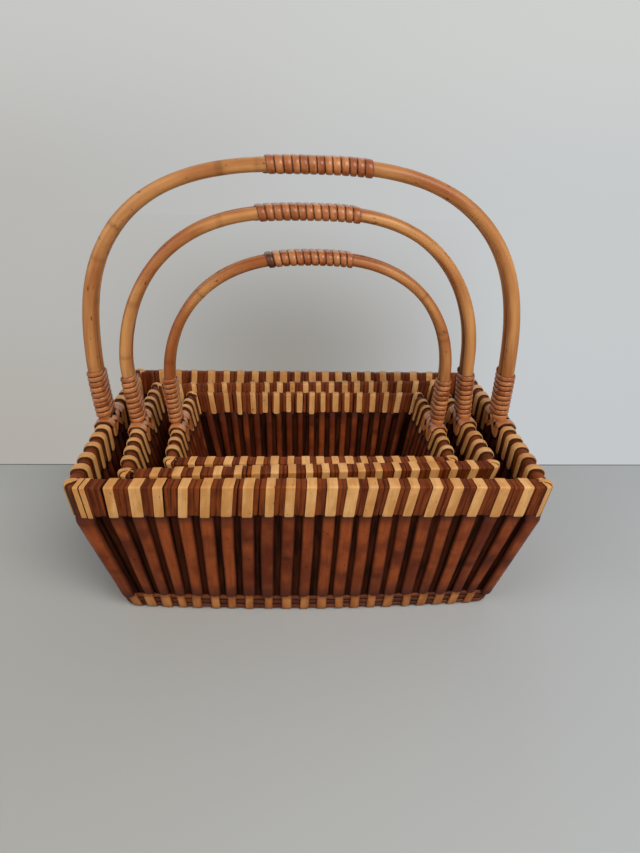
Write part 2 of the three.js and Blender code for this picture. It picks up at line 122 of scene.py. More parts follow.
# Sizes that the three baskets share.
flare = 0.215
cornerRadius = 10 * mm
tightRadius = 2 * mm
stakeInset = 1 * mm
cornerStake = 9 * mm
crowding = 0.1
slideAtCorner = 0.35
slideReach = 0.15
swingAtTop = 0.35
poleGap = 0.15 * mm
sharpAngle = 55
spread = np.linspace
sideNames = ("front", "right", "back", "left")
sideNumbers = range(4)


# Colours are written as they look on a screen, from 0 to 255.
def screenColour(colour):
    shares = [part / 255 for part in colour]
    return (*[s / 12.92 if s <= 0.04045 else ((s + 0.055) / 1.055) ** 2.4 for s in shares], 1)


# An operator of Value that makes a Math node, or its reflected form.
def operator(operation, isReflected=False):
    def make(value, other):
        pair = (other, value) if isReflected else (value, other)
        return value.surface.maths(operation, *pair)

    return make


# A number or colour in a node tree.
class Value:
    def __init__(self, surface, socket):
        self.surface = surface
        self.socket = socket

    __add__, __radd__ = operator("ADD"), operator("ADD", True)
    __sub__, __rsub__ = operator("SUBTRACT"), operator("SUBTRACT", True)
    __mul__, __rmul__ = operator("MULTIPLY"), operator("MULTIPLY", True)
    __truediv__, __rtruediv__ = operator("DIVIDE"), operator("DIVIDE", True)


# The nodes of a material or of the world.
class Surface:
    def __init__(self, owner):
        owner.use_nodes = True
        self.owner = owner
        self.tree = owner.node_tree
        self.shader = self.tree.nodes.get("Principled BSDF")

    def link(self, value, socket):
        if isinstance(value, Value):
            self.tree.links.new(value.socket, socket)
        else:
            socket.default_value = screenColour(value) if isinstance(value, tuple) else value

    # Adds a node with its settings first and then the values or links of its inputs, by name or
    # number, and returns the output asked for, or all of them.
    def node(self, kind, output=None, settings=None, inputs=None):
        node = self.tree.nodes.new(f"ShaderNode{kind}")
        for setting, value in (settings or {}).items():
            setattr(node, setting, value)
        for place, value in (inputs or {}).items():
            self.link(value, node.inputs[place])
        if output is None:
            return [Value(self, socket) for socket in node.outputs]
        return Value(self, node.outputs[output])

    def maths(self, operation, *values):
        return self.node("Math", 0, {"operation": operation}, dict(enumerate(values)))

    # A Mix node has its share in input 0, its two colours in 6 and 7 and the result in output 2.
    def mix(self, share, first, second):
        return self.node("Mix", 2, {"data_type": "RGBA"}, {0: share, 6: first, 7: second})

    # From 0 to 1 as the value goes from low to high.
    def ramp(self, value, low, high):
        inputs = {"Value": value, "From Min": low, "From Max": high}
        return self.node("MapRange", "Result", {"interpolation_type": "SMOOTHSTEP"}, inputs)

    def parts(self, vector):
        return self.node("SeparateXYZ", inputs={0: vector})

    def attribute(self, name):
        return self.parts(self.node("Attribute", "Vector", {"attribute_name": name}))

    def finish(self, inputs):
        for name, value in inputs.items():
            self.link(value, self.shader.inputs[name])
        return self.owner


# How the noises, the tone shade, the dirt with painted shade and the painted shade at edges of all
# looks are mixed. A noise has its detail, its seed and the range over which its colour shows.
mixing = {
    "grain": (2, 0, 0.35, 0.75), "blotch": (2, 7), "cross": (2, 19, 0.58, 0.8),
    "speck": (1, 31, 0.7, 0.78), "toneStep": 61,
    "blotchShade": 2.2, "toneShade": 0.5, "shadeStart": 0.85,
    "blotchDirtAndShade": 0.3, "dirtAndShadeStart": 0.15, "edgeStart": 0.55, "edgeEnd": 1.05,
    "crossDipStart": 0.5, "markDip": 0.5, "reliefStrength": 0.6,
    "grainRoughness": 0.25, "dirtAndShadeRoughness": 0.12, "coatRoughness": 0.22,
}


# Noise of one kind. A look's numbers are how many times finer it is along and across a strand.
def noiseOf(surface, look, kind, strand):
    along, across, tone = strand
    finerAlong, finerAcross = look[f"{kind}Noise"][:2]
    detail, seed = mixing[kind][:2]
    inputs = {0: along * finerAlong, 1: across * finerAcross, 2: tone * mixing["toneStep"] + seed}
    place = surface.node("CombineXYZ", 0, inputs=inputs)
    return surface.node("TexNoise", "Fac", inputs={"Vector": place, "Scale": 1, "Detail": detail})


# A split, peeled or round piece of willow or cane: its grain runs along the strand and its tone
# differs from strand to strand. Painted shade darkens its edges, and dirt with painted shade darkens
# it where each strand asks, mostly near its ends.
def willowSurface(look):
    surface = Surface(bpy.data.materials.new(look["name"]))
    strand = surface.attribute("strand")
    edge, dirtAndShade, mark = surface.attribute("soil")
    noise = {kind: noiseOf(surface, look, kind, strand) for kind in ("grain", "blotch", "cross", "speck")}
    blotchShade, toneShade = noise["blotch"] * mixing["blotchShade"], strand[2] * mixing["toneShade"]
    shade = surface.ramp(blotchShade + toneShade - mixing["shadeStart"], 0, 1)
    shown = surface.mix(shade, look["dark"], look["light"])
    for kind in ("grain", "cross", "speck"):
        start, end = mixing[kind][2:]
        share = surface.ramp(noise[kind], start, end) * look[f"{kind}Noise"][2]
        shown = surface.mix(share, shown, look[kind])
    # Dirt and painted shade together.
    soiledAndShaded = surface.ramp(dirtAndShade + noise["blotch"] * mixing["blotchDirtAndShade"] - mixing["dirtAndShadeStart"], 0, 1)
    shown = surface.mix(soiledAndShaded, shown, look["dirtAndShade"])
    # Painted shade at the strand's edges.
    edgeShaded = surface.ramp(edge, mixing["edgeStart"], mixing["edgeEnd"]) * look["edgeShadeShare"]
    shown = surface.mix(edgeShaded, shown, look["edge"])
    shown = surface.mix(mark, shown, look["speck"])
    dip = surface.ramp(noise["cross"], mixing["crossDipStart"], mixing["cross"][3])
    height = noise["grain"] * look["grainNoise"][2] - dip * look["crossNoise"][2]
    height = height - mark * mixing["markDip"]
    relief = {"Height": height, "Distance": look["relief"], "Strength": mixing["reliefStrength"]}
    rougher = (noise["grain"] - 0.5) * mixing["grainRoughness"] + dirtAndShade * mixing["dirtAndShadeRoughness"]
    return surface.finish({
        "Base Color": shown, "Roughness": look["roughness"] + rougher,
        "Normal": surface.node("Bump", "Normal", inputs=relief), "Specular IOR Level": look["specular"],
        "Coat Weight": look.get("coat", 0), "Coat Roughness": mixing["coatRoughness"],
    })


# The looks. A noise has how many times finer it is along and across a strand, and how much of its
# colour shows. The edge colour is painted shade at a strand's edges, and the dirt colour serves both
# dirt and painted shade.
barkLook = {
    "name": "barkStake",
    "dark": (90, 34, 12), "light": (152, 73, 31), "grain": (110, 48, 20),
    "cross": (66, 28, 16), "speck": (46, 18, 12), "edge": (48, 18, 10),
    "dirtAndShade": (74, 34, 24),
    "grainNoise": (60, 420, 0.5), "blotchNoise": (45, 40),
    "crossNoise": (320, 45, 0.45), "speckNoise": (160, 220, 0.7),
    "edgeShadeShare": 0.8, "relief": 0.12 * mm, "roughness": 0.42, "specular": 0.14,
}
peeledLook = {
    "name": "peeledSplint",
    "dark": (206, 142, 75), "light": (236, 179, 113), "grain": (190, 126, 66),
    "cross": (150, 92, 48), "speck": (92, 48, 24), "edge": (40, 18, 8),
    "dirtAndShade": (96, 52, 26),
    "grainNoise": (40, 520, 0.35), "blotchNoise": (40, 80),
    "crossNoise": (300, 60, 0.12), "speckNoise": (300, 420, 0.75),
    "edgeShadeShare": 0.95, "relief": 0.05 * mm, "roughness": 0.4, "specular": 0.3,
}
darkLook = {
    "name": "darkSplint",
    "dark": (76, 26, 6), "light": (128, 57, 18), "grain": (148, 73, 27),
    "cross": (48, 20, 10), "speck": (34, 14, 8), "edge": (34, 13, 7),
    "dirtAndShade": (36, 17, 10),
    "grainNoise": (35, 750, 0.55), "blotchNoise": (45, 200),
    "crossNoise": (260, 120, 0.25), "speckNoise": (200, 400, 0.4),
    "edgeShadeShare": 0.7, "relief": 0.08 * mm, "roughness": 0.5, "specular": 0.12,
}
rodLook = {
    "name": "borderRod",
    "dark": (66, 22, 6), "light": (140, 72, 27), "grain": (104, 46, 16),
    "cross": (66, 26, 11), "speck": (50, 20, 10), "edge": (60, 24, 10),
    "dirtAndShade": (60, 26, 13),
    "grainNoise": (40, 420, 0.4), "blotchNoise": (45, 60),
    "crossNoise": (90, 60, 0.7), "speckNoise": (110, 300, 0.6),
    "edgeShadeShare": 0, "relief": 0.07 * mm, "roughness": 0.42, "specular": 0.18,
}
poleLook = {
    "name": "honeyPole",
    "dark": (158, 84, 38), "light": (210, 148, 86), "grain": (146, 78, 34),
    "cross": (128, 64, 28), "speck": (66, 30, 14), "edge": (92, 38, 14),
    "dirtAndShade": (108, 52, 24),
    "grainNoise": (12, 170, 0.55), "blotchNoise": (14, 60),
    "crossNoise": (60, 50, 0.2), "speckNoise": (110, 220, 0.7),
    "edgeShadeShare": 0.75, "relief": 0.015 * mm, "roughness": 0.36, "specular": 0.3,
}
caneLook = {
    "name": "handleCane",
    "dark": (153, 78, 35), "light": (212, 138, 81), "grain": (148, 78, 37),
    "cross": (120, 62, 34), "speck": (70, 34, 18), "edge": (58, 22, 10),
    "dirtAndShade": (62, 26, 12),
    "grainNoise": (60, 450, 0.35), "blotchNoise": (60, 80),
    "crossNoise": (160, 60, 0.25), "speckNoise": (300, 350, 0.5),
    "edgeShadeShare": 0.95, "relief": 0.03 * mm, "roughness": 0.28,
    "specular": 0.3, "coat": 0.3,
}
# A darker copy of the dark splints' look: painted shade for the splints and cores deep in the walls.
recessShadeLook = {
    **darkLook,
    "name": "recessSplint",
    "dark": (18, 6, 2), "light": (68, 28, 10), "grain": (72, 31, 12),
    "edge": (14, 5, 3), "dirtAndShade": (14, 5, 3), "roughness": 0.8, "specular": 0.05,
}
endLook = {
    **peeledLook,
    "name": "peeledEnd",
    "dark": (160, 90, 38), "light": (210, 136, 70), "grain": (150, 84, 37),
    "dirtAndShade": (84, 40, 18), "edge": (104, 54, 24), "edgeShadeShare": 0.7,
}
matLook = {
    **darkLook,
    "name": "floorMat",
    "dark": (112, 66, 36), "light": (170, 112, 64), "grain": (130, 80, 44),
}
looks = {
    "bark": barkLook, "peeled": peeledLook, "dark": darkLook, "rod": rodLook, "pole": poleLook,
    "cane": caneLook, "mat": matLook, "recess": recessShadeLook, "end": endLook,
}
paint = {name: willowSurface(look) for name, look in looks.items()}


def inScene(name, data):
    thing = bpy.data.objects.new(name, data)
    bpy.context.scene.collection.objects.link(thing)
    return thing


def dress(basket, piece, slotName, *nodes):
    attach(piece, basket["body"])
    if nodes:
        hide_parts(*(f"{basket['name']}_{node}" for node in nodes))


# How far along a line each of its points lies, from 0.
def reachedAlong(points, power=1):
    return np.concatenate([[0], np.cumsum(np.linalg.norm(np.diff(points, axis=0), axis=1) ** power)])


# Many strands in one mesh, with where each point lies on its strand, how soiled it is and how much
# painted shade it gets.
class Strands:
    def __init__(self, basket):
        self.basket = basket
        self.points = []
        self.faces = []
        self.strand = []
        self.soil = []
        self.count = 0

    # One strand through rings of points. Its tone, dirt with painted shade, and mark are one for each
    # ring, or one for all, and its edges are how near each corner of a ring lies to an edge, which sets
    # its painted edge shade.
    def add(self, rings, tone, dirtAndShade=0, mark=0, edges=0, isRing=False):
        shape = rings.shape[:2]
        steps, corners = shape
        along = reachedAlong(rings.mean(axis=1))[:, None]
        across = reachedAlong(rings[steps // 2])
        tone, dirtAndShade, mark = (np.reshape(value, (-1, 1)) for value in (tone, dirtAndShade, mark))
        kept = ((self.strand, (along, across, tone)), (self.soil, (edges, dirtAndShade, mark)))
        for values, parts in kept:
            spanned = [np.broadcast_to(part, shape) for part in parts]
            values.append(np.stack(spanned, axis=-1).reshape(-1, 3))
        self.points.append(rings.reshape(-1, 3))
        spans = steps if isRing else steps - 1
        here = np.arange(spans)[:, None] * corners + np.arange(corners)
        there = (np.arange(spans)[:, None] + 1) % steps * corners + np.arange(corners)
        quads = np.stack([here, np.roll(here, -1, 1), np.roll(there, -1, 1), there], axis=-1)
        faces = [list(quad) for quad in (quads.reshape(-1, 4) + self.count)]
        if not isRing:
            faces.append(list(range(self.count + corners - 1, self.count - 1, -1)))
            last = self.count + (steps - 1) * corners
            faces.append(list(range(last, last + corners)))
        if volumeOf(rings, isRing) < 0:
            faces = [face[::-1] for face in faces]
        self.faces.extend(faces)
        self.count += steps * corners

    # One strand over a wall. The path holds along, offset, z and the outward normal's two parts;
    # the section holds shares of half the width and of the thickness.
    def addOnWall(self, side, path, width, thickness, section, tone, dirtAndShade, mark=0):
        along, offset, z, normalOut, normalUp = (np.reshape(part, (-1, 1)) for part in path)
        along = along + section[:, 0] * np.reshape(width, (-1, 1)) / 2
        inward = (section[:, 1] - 1) * np.reshape(thickness, (-1, 1))
        rings = wallPoints(self.basket, side, along, offset + normalOut * inward, z + normalUp * inward)
        self.add(rings, tone, dirtAndShade, mark, edgesOf(section))

    # The finished piece, with its look and the nodes that it stands for.
    def build(self, part, look, slotName, *nodes):
        name = f"{self.basket['name']}_{part}"
        mesh = bpy.data.meshes.new(name)
        mesh.from_pydata(np.concatenate(self.points).tolist(), [], self.faces)
        for attribute, values in (("strand", self.strand), ("soil", self.soil)):
            layer = mesh.attributes.new(attribute, "FLOAT_VECTOR", "POINT")
            layer.data.foreach_set("vector", np.concatenate(values).astype(np.float32).ravel())
        mesh.materials.append(paint[look])
        mesh.shade_smooth()
        mesh.set_sharp_from_angle(angle=math.radians(sharpAngle))
        dress(self.basket, inScene(name, mesh), slotName, *nodes)


# The volume that the rings enclose, negative where they turn the other way.
def volumeOf(rings, isRing):
    nextRing = np.roll(rings, -1, 0) if isRing else rings[1:]
    ring = rings if isRing else rings[:-1]
    middle = rings.mean(axis=(0, 1))
    a, b = ring - middle, np.roll(ring, -1, 1) - middle
    c, d = np.roll(nextRing, -1, 1) - middle, nextRing - middle
    return float((a * np.cross(b, c)).sum() + (a * np.cross(c, d)).sum())


# The dice for one run of pieces, so that their variation stays the same when others change.
def diceFor(basket, *words):
    return random.Random(" ".join(str(word) for word in (basket["name"], *words)))


# A slow, smooth wander between about -1 and 1 along a list of places.
def wander(dice, places, length):
    waves = [(dice.uniform(0.6, 1.4) / length * bend, dice.uniform(0, 2 * math.pi)) for bend in (1, 2.3)]
    return sum(np.sin(2 * math.pi * rate * places + start) for rate, start in waves) / 2


# A round hump of height 1 at a place.
def hump(places, middle, width):
    return np.exp(-((places - middle) / width) ** 2)


# From 1 at the start down to 0 at a distance.
def fading(distance, reach):
    return np.clip(1 - distance / reach, 0, 1)


# Half the length of a side at height z. The short walls stand out most at the foot of the rim's band.
def halfAlong(basket, side, z):
    inward = flare * (basket["height"] - z)
    if side % 2 == 1:
        return basket["rimDepth"] / 2 - inward
    fullness = np.minimum(z / basket["bandFoot"], (basket["height"] - z) / basket["bandHeight"])
    return basket["rimLength"] / 2 - inward + basket["fullness"] * fullness


# Points of a wall: along its side from the middle, outward from the outline, and up.
def wallPoints(basket, side, along, offset, z):
    along, offset, z = np.broadcast_arrays(along, offset, z)
    kind = "front" if side % 2 == 0 else "side"
    atBase, atRim = basket[f"{kind}BaseBow"], basket[f"{kind}RimBow"]
    bow = atBase + (atRim - atBase) * np.minimum(1, z / basket["bandFoot"])
    radius = np.maximum(cornerRadius + offset, tightRadius)
    straight = halfAlong(basket, side, z) + offset - radius
    turn = np.clip((np.abs(along) - straight) / radius, 0, math.pi / 2)
    sideways = np.clip(along, -straight, straight) + np.sign(along) * radius * np.sin(turn)
    swell = bow * (1 - np.clip(along / straight, -1, 1) ** 2)
    out = halfAlong(basket, side + 1, z) + offset - radius * (1 - np.cos(turn)) + swell
    return onSide(basket, side, sideways, out, z)


def onSide(basket, side, sideways, out, z):
    x, y = ((sideways, -out), (out, sideways), (-sideways, out), (-out, -sideways))[side]
    return placed(basket, np.stack([x, y, z], axis=-1))


def placed(basket, points):
    turned = points @ np.array(basket["turn"]).T
    return turned + np.array([*basket["place"], basket["standsAt"]])


# A strand over a corner, turned so far round it from its side's wall.
def cornerStrand(basket, side, end, turn, path, width, thickness, section):
    _, offset, z, normalOut, normalUp = (np.reshape(part, (-1, 1)) for part in path)
    reach = cornerRadius + (basket["rimWidth"] - cornerRadius) / math.cos(min(turn, math.pi / 2 - turn))
    inward = (section[:, 1] - 1) * thickness
    out = cornerRadius + offset * reach / basket["rimWidth"] + normalOut * inward
    across = section[:, 0] * np.reshape(width, (-1, 1)) / 2
    z = z + normalUp * inward
    sideways = halfAlong(basket, side, z) - cornerRadius + out * math.sin(turn) + across * math.cos(turn)
    outward = halfAlong(basket, side + 1, z) - cornerRadius + out * math.cos(turn) - across * math.sin(turn)
    return onSide(basket, side, end * sideways, outward, z)


# Sections of strands, from one side over the face to the other. A stake's is half round and flat at
# its back, and a flat splint's is slightly crowned with rounded edges. A folded splint's sides get
# painted shade up to the splint's own thickness, for the shadow under its edges.
halfTurn = spread(0, math.pi, 13)
barkSection = np.stack([np.cos(halfTurn), np.sin(halfTurn) ** 0.5], axis=-1)
flatSection = np.array([
    (1, 0), (1, 0.5), (0.86, 0.86), (0.45, 1), (-0.45, 1), (-0.86, 0.86), (-1, 0.5), (-1, 0)])
foldSection = np.array([
    (1, 0), (1, 0.6), (0.94, 0.95), (0.5, 1), (-0.5, 1), (-0.94, 0.95), (-1, 0.6), (-1, 0)])
foldSideShade = (1.3, 1.1, 0.45, 0, 0, 0.45, 1.1, 1.3)


# How near each corner of a section lies to its sides, which sets its painted edge shade.
def edgesOf(section):
    return foldSideShade if section is foldSection else np.abs(section[:, 0])


# A circle of shares of a radius, seen along a strand.
def circleOf(sides):
    turn = spread(math.pi, 3 * math.pi, sides + 1)[:-1]
    return np.cos(turn), np.sin(turn)


def stakeCount(basket, side):
    return basket["frontStakes"] if side % 2 == 0 else basket["sideStakes"]


# Where a stake stands along its wall: its share of the way from the middle to the last one.
def stakeShare(basket, side, number):
    return 2 * number / (stakeCount(basket, side) - 1) - 1


# How far along its wall a stake stands. They crowd together at the ends of the foot and open out
# at the rim, and those at the front may stand a little to the right. On the right half of the front
# they may swing to the left below the rim's band, and to the right at the rim's top.
def alongAt(basket, side, share, offset, z):
    fan = share * (1 + crowding * (1 - 2 * z / basket["height"]) * (1 - share ** 2))
    place = fan * (halfAlong(basket, side, z) + offset - cornerStake)
    if side != 0:
        return place
    slide = basket["footSlide"] + (basket["rimSlide"] - basket["footSlide"]) * z / basket["height"]
    below = np.minimum(1, (basket["height"] - z) / basket["bandHeight"])
    swing = basket["rimSwing"] * (swingAtTop - (1 + swingAtTop) * below) * 4 * max(share, 0) * (1 - share)
    return place + slide * min(1, slideAtCorner + (1 - abs(share)) / slideReach) + swing


# Each stake's wall, that wall's dice and the stake's share. There may be more places than stakes on
# a wall, and they may stand before the stakes by a share of the pitch.
def eachStake(basket, *words, more=0, before=0):
    for side in sideNumbers:
        dice = diceFor(basket, *words, side)
        for number in range(stakeCount(basket, side) + more):
            yield side, dice, stakeShare(basket, side, number - before)


def stakePitch(basket, side, share, z):
    fan = 1 + crowding * (1 - 2 * z / basket["height"]) * (1 - 3 * share ** 2)
    return 2 * fan * (halfAlong(basket, side, z) - cornerStake) / (stakeCount(basket, side) - 1)


stakes = {
    "outerWidth": 0.67, "innerWidth": 0.54, "thinnest": 0.8, "thickness": 3.8 * mm, "steps": 22,
    "outerFoot": 16 * mm, "innerFoot": 9.5 * mm, "footSpread": 1 * mm, "footRounding": 1.2 * mm,
    "footWidth": 0.82, "tuck": 4 * mm, "innerDrop": 0.76, "lean": 1.3 * mm, "depthSpread": 0.5 * mm,
    "wander": 0.4 * mm, "wanderLength": 220 * mm, "placeSpread": 0.7 * mm, "insideShade": 0.35,
    "greyTop": 11 * mm, "topDarkening": 0.85, "greyFoot": 22 * mm, "footDarkening": 0.9,
    "nodeWidth": 2.4 * mm, "nodeChance": 0.6, "nodeSwell": 0.03, "nodeMark": 0.6,
    "cornerProud": 3 * mm, "cornerOut": 0.5 * mm, "cornerFill": 1.5,
}


# The top of a layer of stakes, just under the ends of the rim's splints.
def stakeTop(basket, isInner):
    drop = basket["bandHeight"] * (stakes["innerDrop"] if isInner else 1)
    return basket["height"] - drop + stakes["tuck"]


# The front corners of the large basket differ from the others.
def isUneven(basket, side, share):
    return basket["hasUnevenCorners"] and side == 0 and abs(share) == 1


# The half-round stakes of one layer, outside or inside. They lean in under the rim's splints.
def makeStakes(basket, isInner):
    strands = Strands(basket)
    layer, facing = ("inner", -1) if isInner else ("outer", 1)
    top = stakeTop(basket, isInner)
    rounded, narrowest = stakes["footRounding"], stakes["footWidth"]
    for side, dice, share in eachStake(basket, layer, "stakes"):
        foot = stakes[f"{layer}Foot"] + dice.uniform(-1, 1) * stakes["footSpread"]
        z = np.concatenate([[foot, foot + rounded / 3], spread(foot + rounded, top, stakes["steps"])])
        under = 1 - fading(z - top + 2 * stakes["tuck"], 2 * stakes["tuck"])
        depth = stakeInset + stakes["lean"] * under ** 2 + dice.uniform(0, 1) * stakes["depthSpread"]
        isProud = isUneven(basket, side, share) and not isInner
        if isProud:
            depth = depth - stakes["cornerProud"] * (1 - under)
        offset = depth - basket["rimWidth"] if isInner else -depth
        along = alongAt(basket, side, share, offset, z)
        along = along + stakes["wander"] * wander(dice, z, stakes["wanderLength"])
        along = along + dice.uniform(-1, 1) * stakes["placeSpread"]
        fill = stakes[f"{layer}Width"] * dice.uniform(0.92, 1.06)
        width = stakePitch(basket, side, share, z) * fill
        width = np.maximum(width, stakes["thinnest"] * width.mean())
        if isProud:
            along = along + share * stakes["cornerOut"]
            width = width * stakes["cornerFill"]
        node = foot + (top - foot) * dice.uniform(0.15, 0.85)
        swell = hump(z, node, stakes["nodeWidth"]) * (dice.random() < stakes["nodeChance"])
        rounding = np.minimum(1, narrowest + (z - foot) / rounded * (1 - narrowest))
        width = width * rounding * (1 + stakes["nodeSwell"] * swell)
        # Darker towards the top, where the stakes go in under the rim's band, and towards the foot.
        dirtAndShade = stakes["topDarkening"] * fading(top - stakes["tuck"] - z, stakes["greyTop"])
        dirtAndShade = dirtAndShade + stakes["footDarkening"] * fading(z - foot, stakes["greyFoot"])
        # The inner layer's tone is held low: painted shade inside the basket.
        tone = dice.random() * (stakes["insideShade"] if isInner else 1)
        strands.addOnWall(side, (along, offset, z, facing, 0), width, stakes["thickness"] * rounding,
                          barkSection, tone, dirtAndShade, stakes["nodeMark"] * swell)
    nodes = [] if isInner else [f"{name}_wall" for name in sideNames]
    strands.build(f"{layer}_stakes", "bark", "bark_stake", *nodes)


backing = {
    "depth": 4.3 * mm, "thickness": 1 * mm, "reach": 4 * mm, "share": 0.34, "steps": 8,
    "outerFoot": 15 * mm, "innerFoot": 10 * mm, "lean": 1.6 * mm, "placeSpread": 1 * mm, "dirtAndShade": 0.2,
}


# The flat dark splints behind the gaps between stakes, in both layers. Some lean. They have the
# near-black recess look, painted shade in the gaps.
def makeBacking(basket):
    strands = Strands(basket)
    for side, dice, share in eachStake(basket, "backing", more=1, before=0.5):
        share = max(-1, min(1, share))
        for isInner, layer, facing in ((False, "outer", 1), (True, "inner", -1)):
            z = spread(backing[f"{layer}Foot"], stakeTop(basket, isInner), backing["steps"])
            depth = backing["depth"] + dice.uniform(-0.6, 0.5) * mm
            offset = depth - basket["rimWidth"] if isInner else -depth
            lean = dice.uniform(-1, 1) * backing["lean"] * (2 * z / basket["height"] - 1)
            along = alongAt(basket, side, share, offset, z) + lean
            along = along + dice.uniform(-1, 1) * backing["placeSpread"]
            width = stakePitch(basket, side, share, z) * backing["share"]
            width = width + backing["reach"] * dice.uniform(0.7, 1.1)
            strands.addOnWall(side, (along, offset, z, facing, 0), width, backing["thickness"],
                              flatSection, dice.random(), backing["dirtAndShade"])
    strands.build("backing_splints", "recess", "dark_splint")


# A closed ring round the basket through points of a section of offset and height.
def wallRing(basket, section, perSide=22):
    share = spread(-1, 1, perSide)
    rings = []
    for side in sideNumbers:
        offset, z = section[:, 0], section[:, 1]
        radius = np.maximum(cornerRadius + offset, tightRadius)
        straight = halfAlong(basket, side, z) + offset - radius
        ends = np.array([0.5, 0.75, 1]) * math.pi / 4
        corner = straight + radius * ends[:, None]
        along = np.concatenate([-corner[::-1], straight * share[:, None], corner[:-1]])
        rings.append(wallPoints(basket, side, along, offset, z))
    return np.concatenate(rings)


core = {
    "halfThickness": 0.9 * mm, "foot": 6 * mm, "tuck": 1 * mm, "inset": 3 * mm,
    "rounding": 4.5 * mm, "chamfer": 0.3, "plyTone": 0.2, "hoopTone": 0.5, "dirtAndShade": 0.5,
}


# What the splints are woven on: a thin ply in the middle of the walls, and the rods in the rim.
# Both have the near-black recess look, painted shade for the hollows inside the walls and the rim.
def makeCore(basket):
    strands = Strands(basket)
    half, rounding = core["halfThickness"], core["rounding"]
    middle = -basket["rimWidth"] / 2
    bandFoot = basket["bandFoot"] + core["tuck"]
    ply = [(middle - half, core["foot"]), (middle + half, core["foot"]),
           (middle + half, bandFoot), (middle - half, bandFoot)]
    outer, top = -core["inset"], basket["height"] - core["inset"]
    inner, chamfer = -basket["rimWidth"] - outer, core["chamfer"] * rounding
    hoop = [(outer, bandFoot), (outer, top - rounding), (outer - chamfer, top - chamfer),
            (outer - rounding, top), (inner + rounding, top), (inner + chamfer, top - chamfer),
            (inner, top - rounding), (inner, bandFoot)]
    for section, tone in ((ply, core["plyTone"]), (hoop, core["hoopTone"])):
        strands.add(wallRing(basket, np.array(section)), tone, core["dirtAndShade"], isRing=True)
    strands.build("core", "recess", "dark_splint", "rim_hoop")


rods = {
    "radius": 2.5 * mm, "offset": -4.3 * mm, "lowest": 3.4 * mm, "pitch": 5.5 * mm,
    "lift": 0.25 * mm, "sides": 12, "perSide": 30, "dirtAndShade": 0.4,
}


# Three round rods, one above another, round the foot of the walls.
def makeRods(basket):
    strands = Strands(basket)
    circle = np.stack(circleOf(rods["sides"]), axis=-1)
    names = [f"{level}_border_rod" for level in ("lower", "middle", "upper")]
    for level in range(len(names)):
        dice = diceFor(basket, "rod", level)
        middle = (rods["offset"], rods["lowest"] + level * rods["pitch"])
        section = circle * rods["radius"] * dice.uniform(0.94, 1.02) + middle
        rings = wallRing(basket, section, rods["perSide"])
        turn = np.arange(len(rings)) / len(rings) * 2 * math.pi
        lift = rods["lift"] * np.sin(turn * dice.randint(5, 9))
        rings[:, :, 2] += lift[:, None]
        strands.add(rings, dice.random(), rods["dirtAndShade"], isRing=True)
    strands.build("border_rods", "rod", "border_rod", *names)


# The profile is in offsets and heights above the bend and after it.
peeledEnds = {
    "width": 8.2 / 15, "thickness": 1 * mm, "offset": -0.5 * mm, "clear": 0.3 * mm,
    "above": ((-1.6 * mm, 18 * mm), (-1 * mm, 16.5 * mm), (-0.5 * mm, 13 * mm), (-0.5 * mm, 7 * mm)),
    "bend": 2.6 * mm, "bendSteps": 6, "after": ((-6 * mm, 0.3 * mm), (-9 * mm, 0.6 * mm)),
    "placeSpread": 0.8 * mm, "slant": 0.7 * mm, "slantHeight": 18 * mm, "mostTone": 0.8,
    "dirtAndShade": 0.2, "footDarkening": 0.5, "footHeight": 5 * mm, "topDarkening": 0.4, "topHeight": 15 * mm,
}


# The peeled ends of the outer stakes, down in front of the rods and turned under them. A proud
# stake at the right front corner has none.
def makePeeledEnds(basket):
    strands = Strands(basket)
    turn = spread(0, math.pi / 2, peeledEnds["bendSteps"])
    above, after = (np.array(peeledEnds[part]) for part in ("above", "after"))
    bendOffset = peeledEnds["offset"] - peeledEnds["bend"] * (1 - np.cos(turn))
    bendZ = peeledEnds["clear"] + peeledEnds["bend"] * (1 - np.sin(turn))
    z = np.concatenate([above[:, 1], bendZ, after[:, 1]])
    normalOut = np.concatenate([np.ones(len(above)), np.cos(turn), np.zeros(len(after))])
    normalUp = np.concatenate([np.zeros(len(above)), -np.sin(turn), -np.ones(len(after))])
    # Painted shade where an end turns under the rods and where it goes up behind its stake's foot, over
    # some dirt.
    dirtAndShade = peeledEnds["dirtAndShade"] + peeledEnds["footDarkening"] * fading(z, peeledEnds["footHeight"])
    dirtAndShade = dirtAndShade + peeledEnds["topDarkening"] * (z > peeledEnds["topHeight"])
    for side, dice, share in eachStake(basket, "peeled ends"):
        if isUneven(basket, side, share) and share > 0:
            continue
        proud = dice.uniform(-0.3, 0.2) * mm
        offset = np.concatenate([above[:, 0], bendOffset, after[:, 0]]) + proud
        along = alongAt(basket, side, share, -stakeInset, z)
        along = along + dice.uniform(-1, 1) * peeledEnds["placeSpread"]
        along = along + dice.uniform(-1, 1) * peeledEnds["slant"] * (1 - z / peeledEnds["slantHeight"])
        width = peeledEnds["width"] * dice.uniform(0.82, 1.15) * basket["rimWidth"]
        tone = dice.uniform(0, 1) * peeledEnds["mostTone"]
        strands.addOnWall(side, (along, offset, z, normalOut, normalUp), width,
                          peeledEnds["thickness"], flatSection, tone, dirtAndShade)
    strands.build("peeled_ends", "end", "peeled_splint")


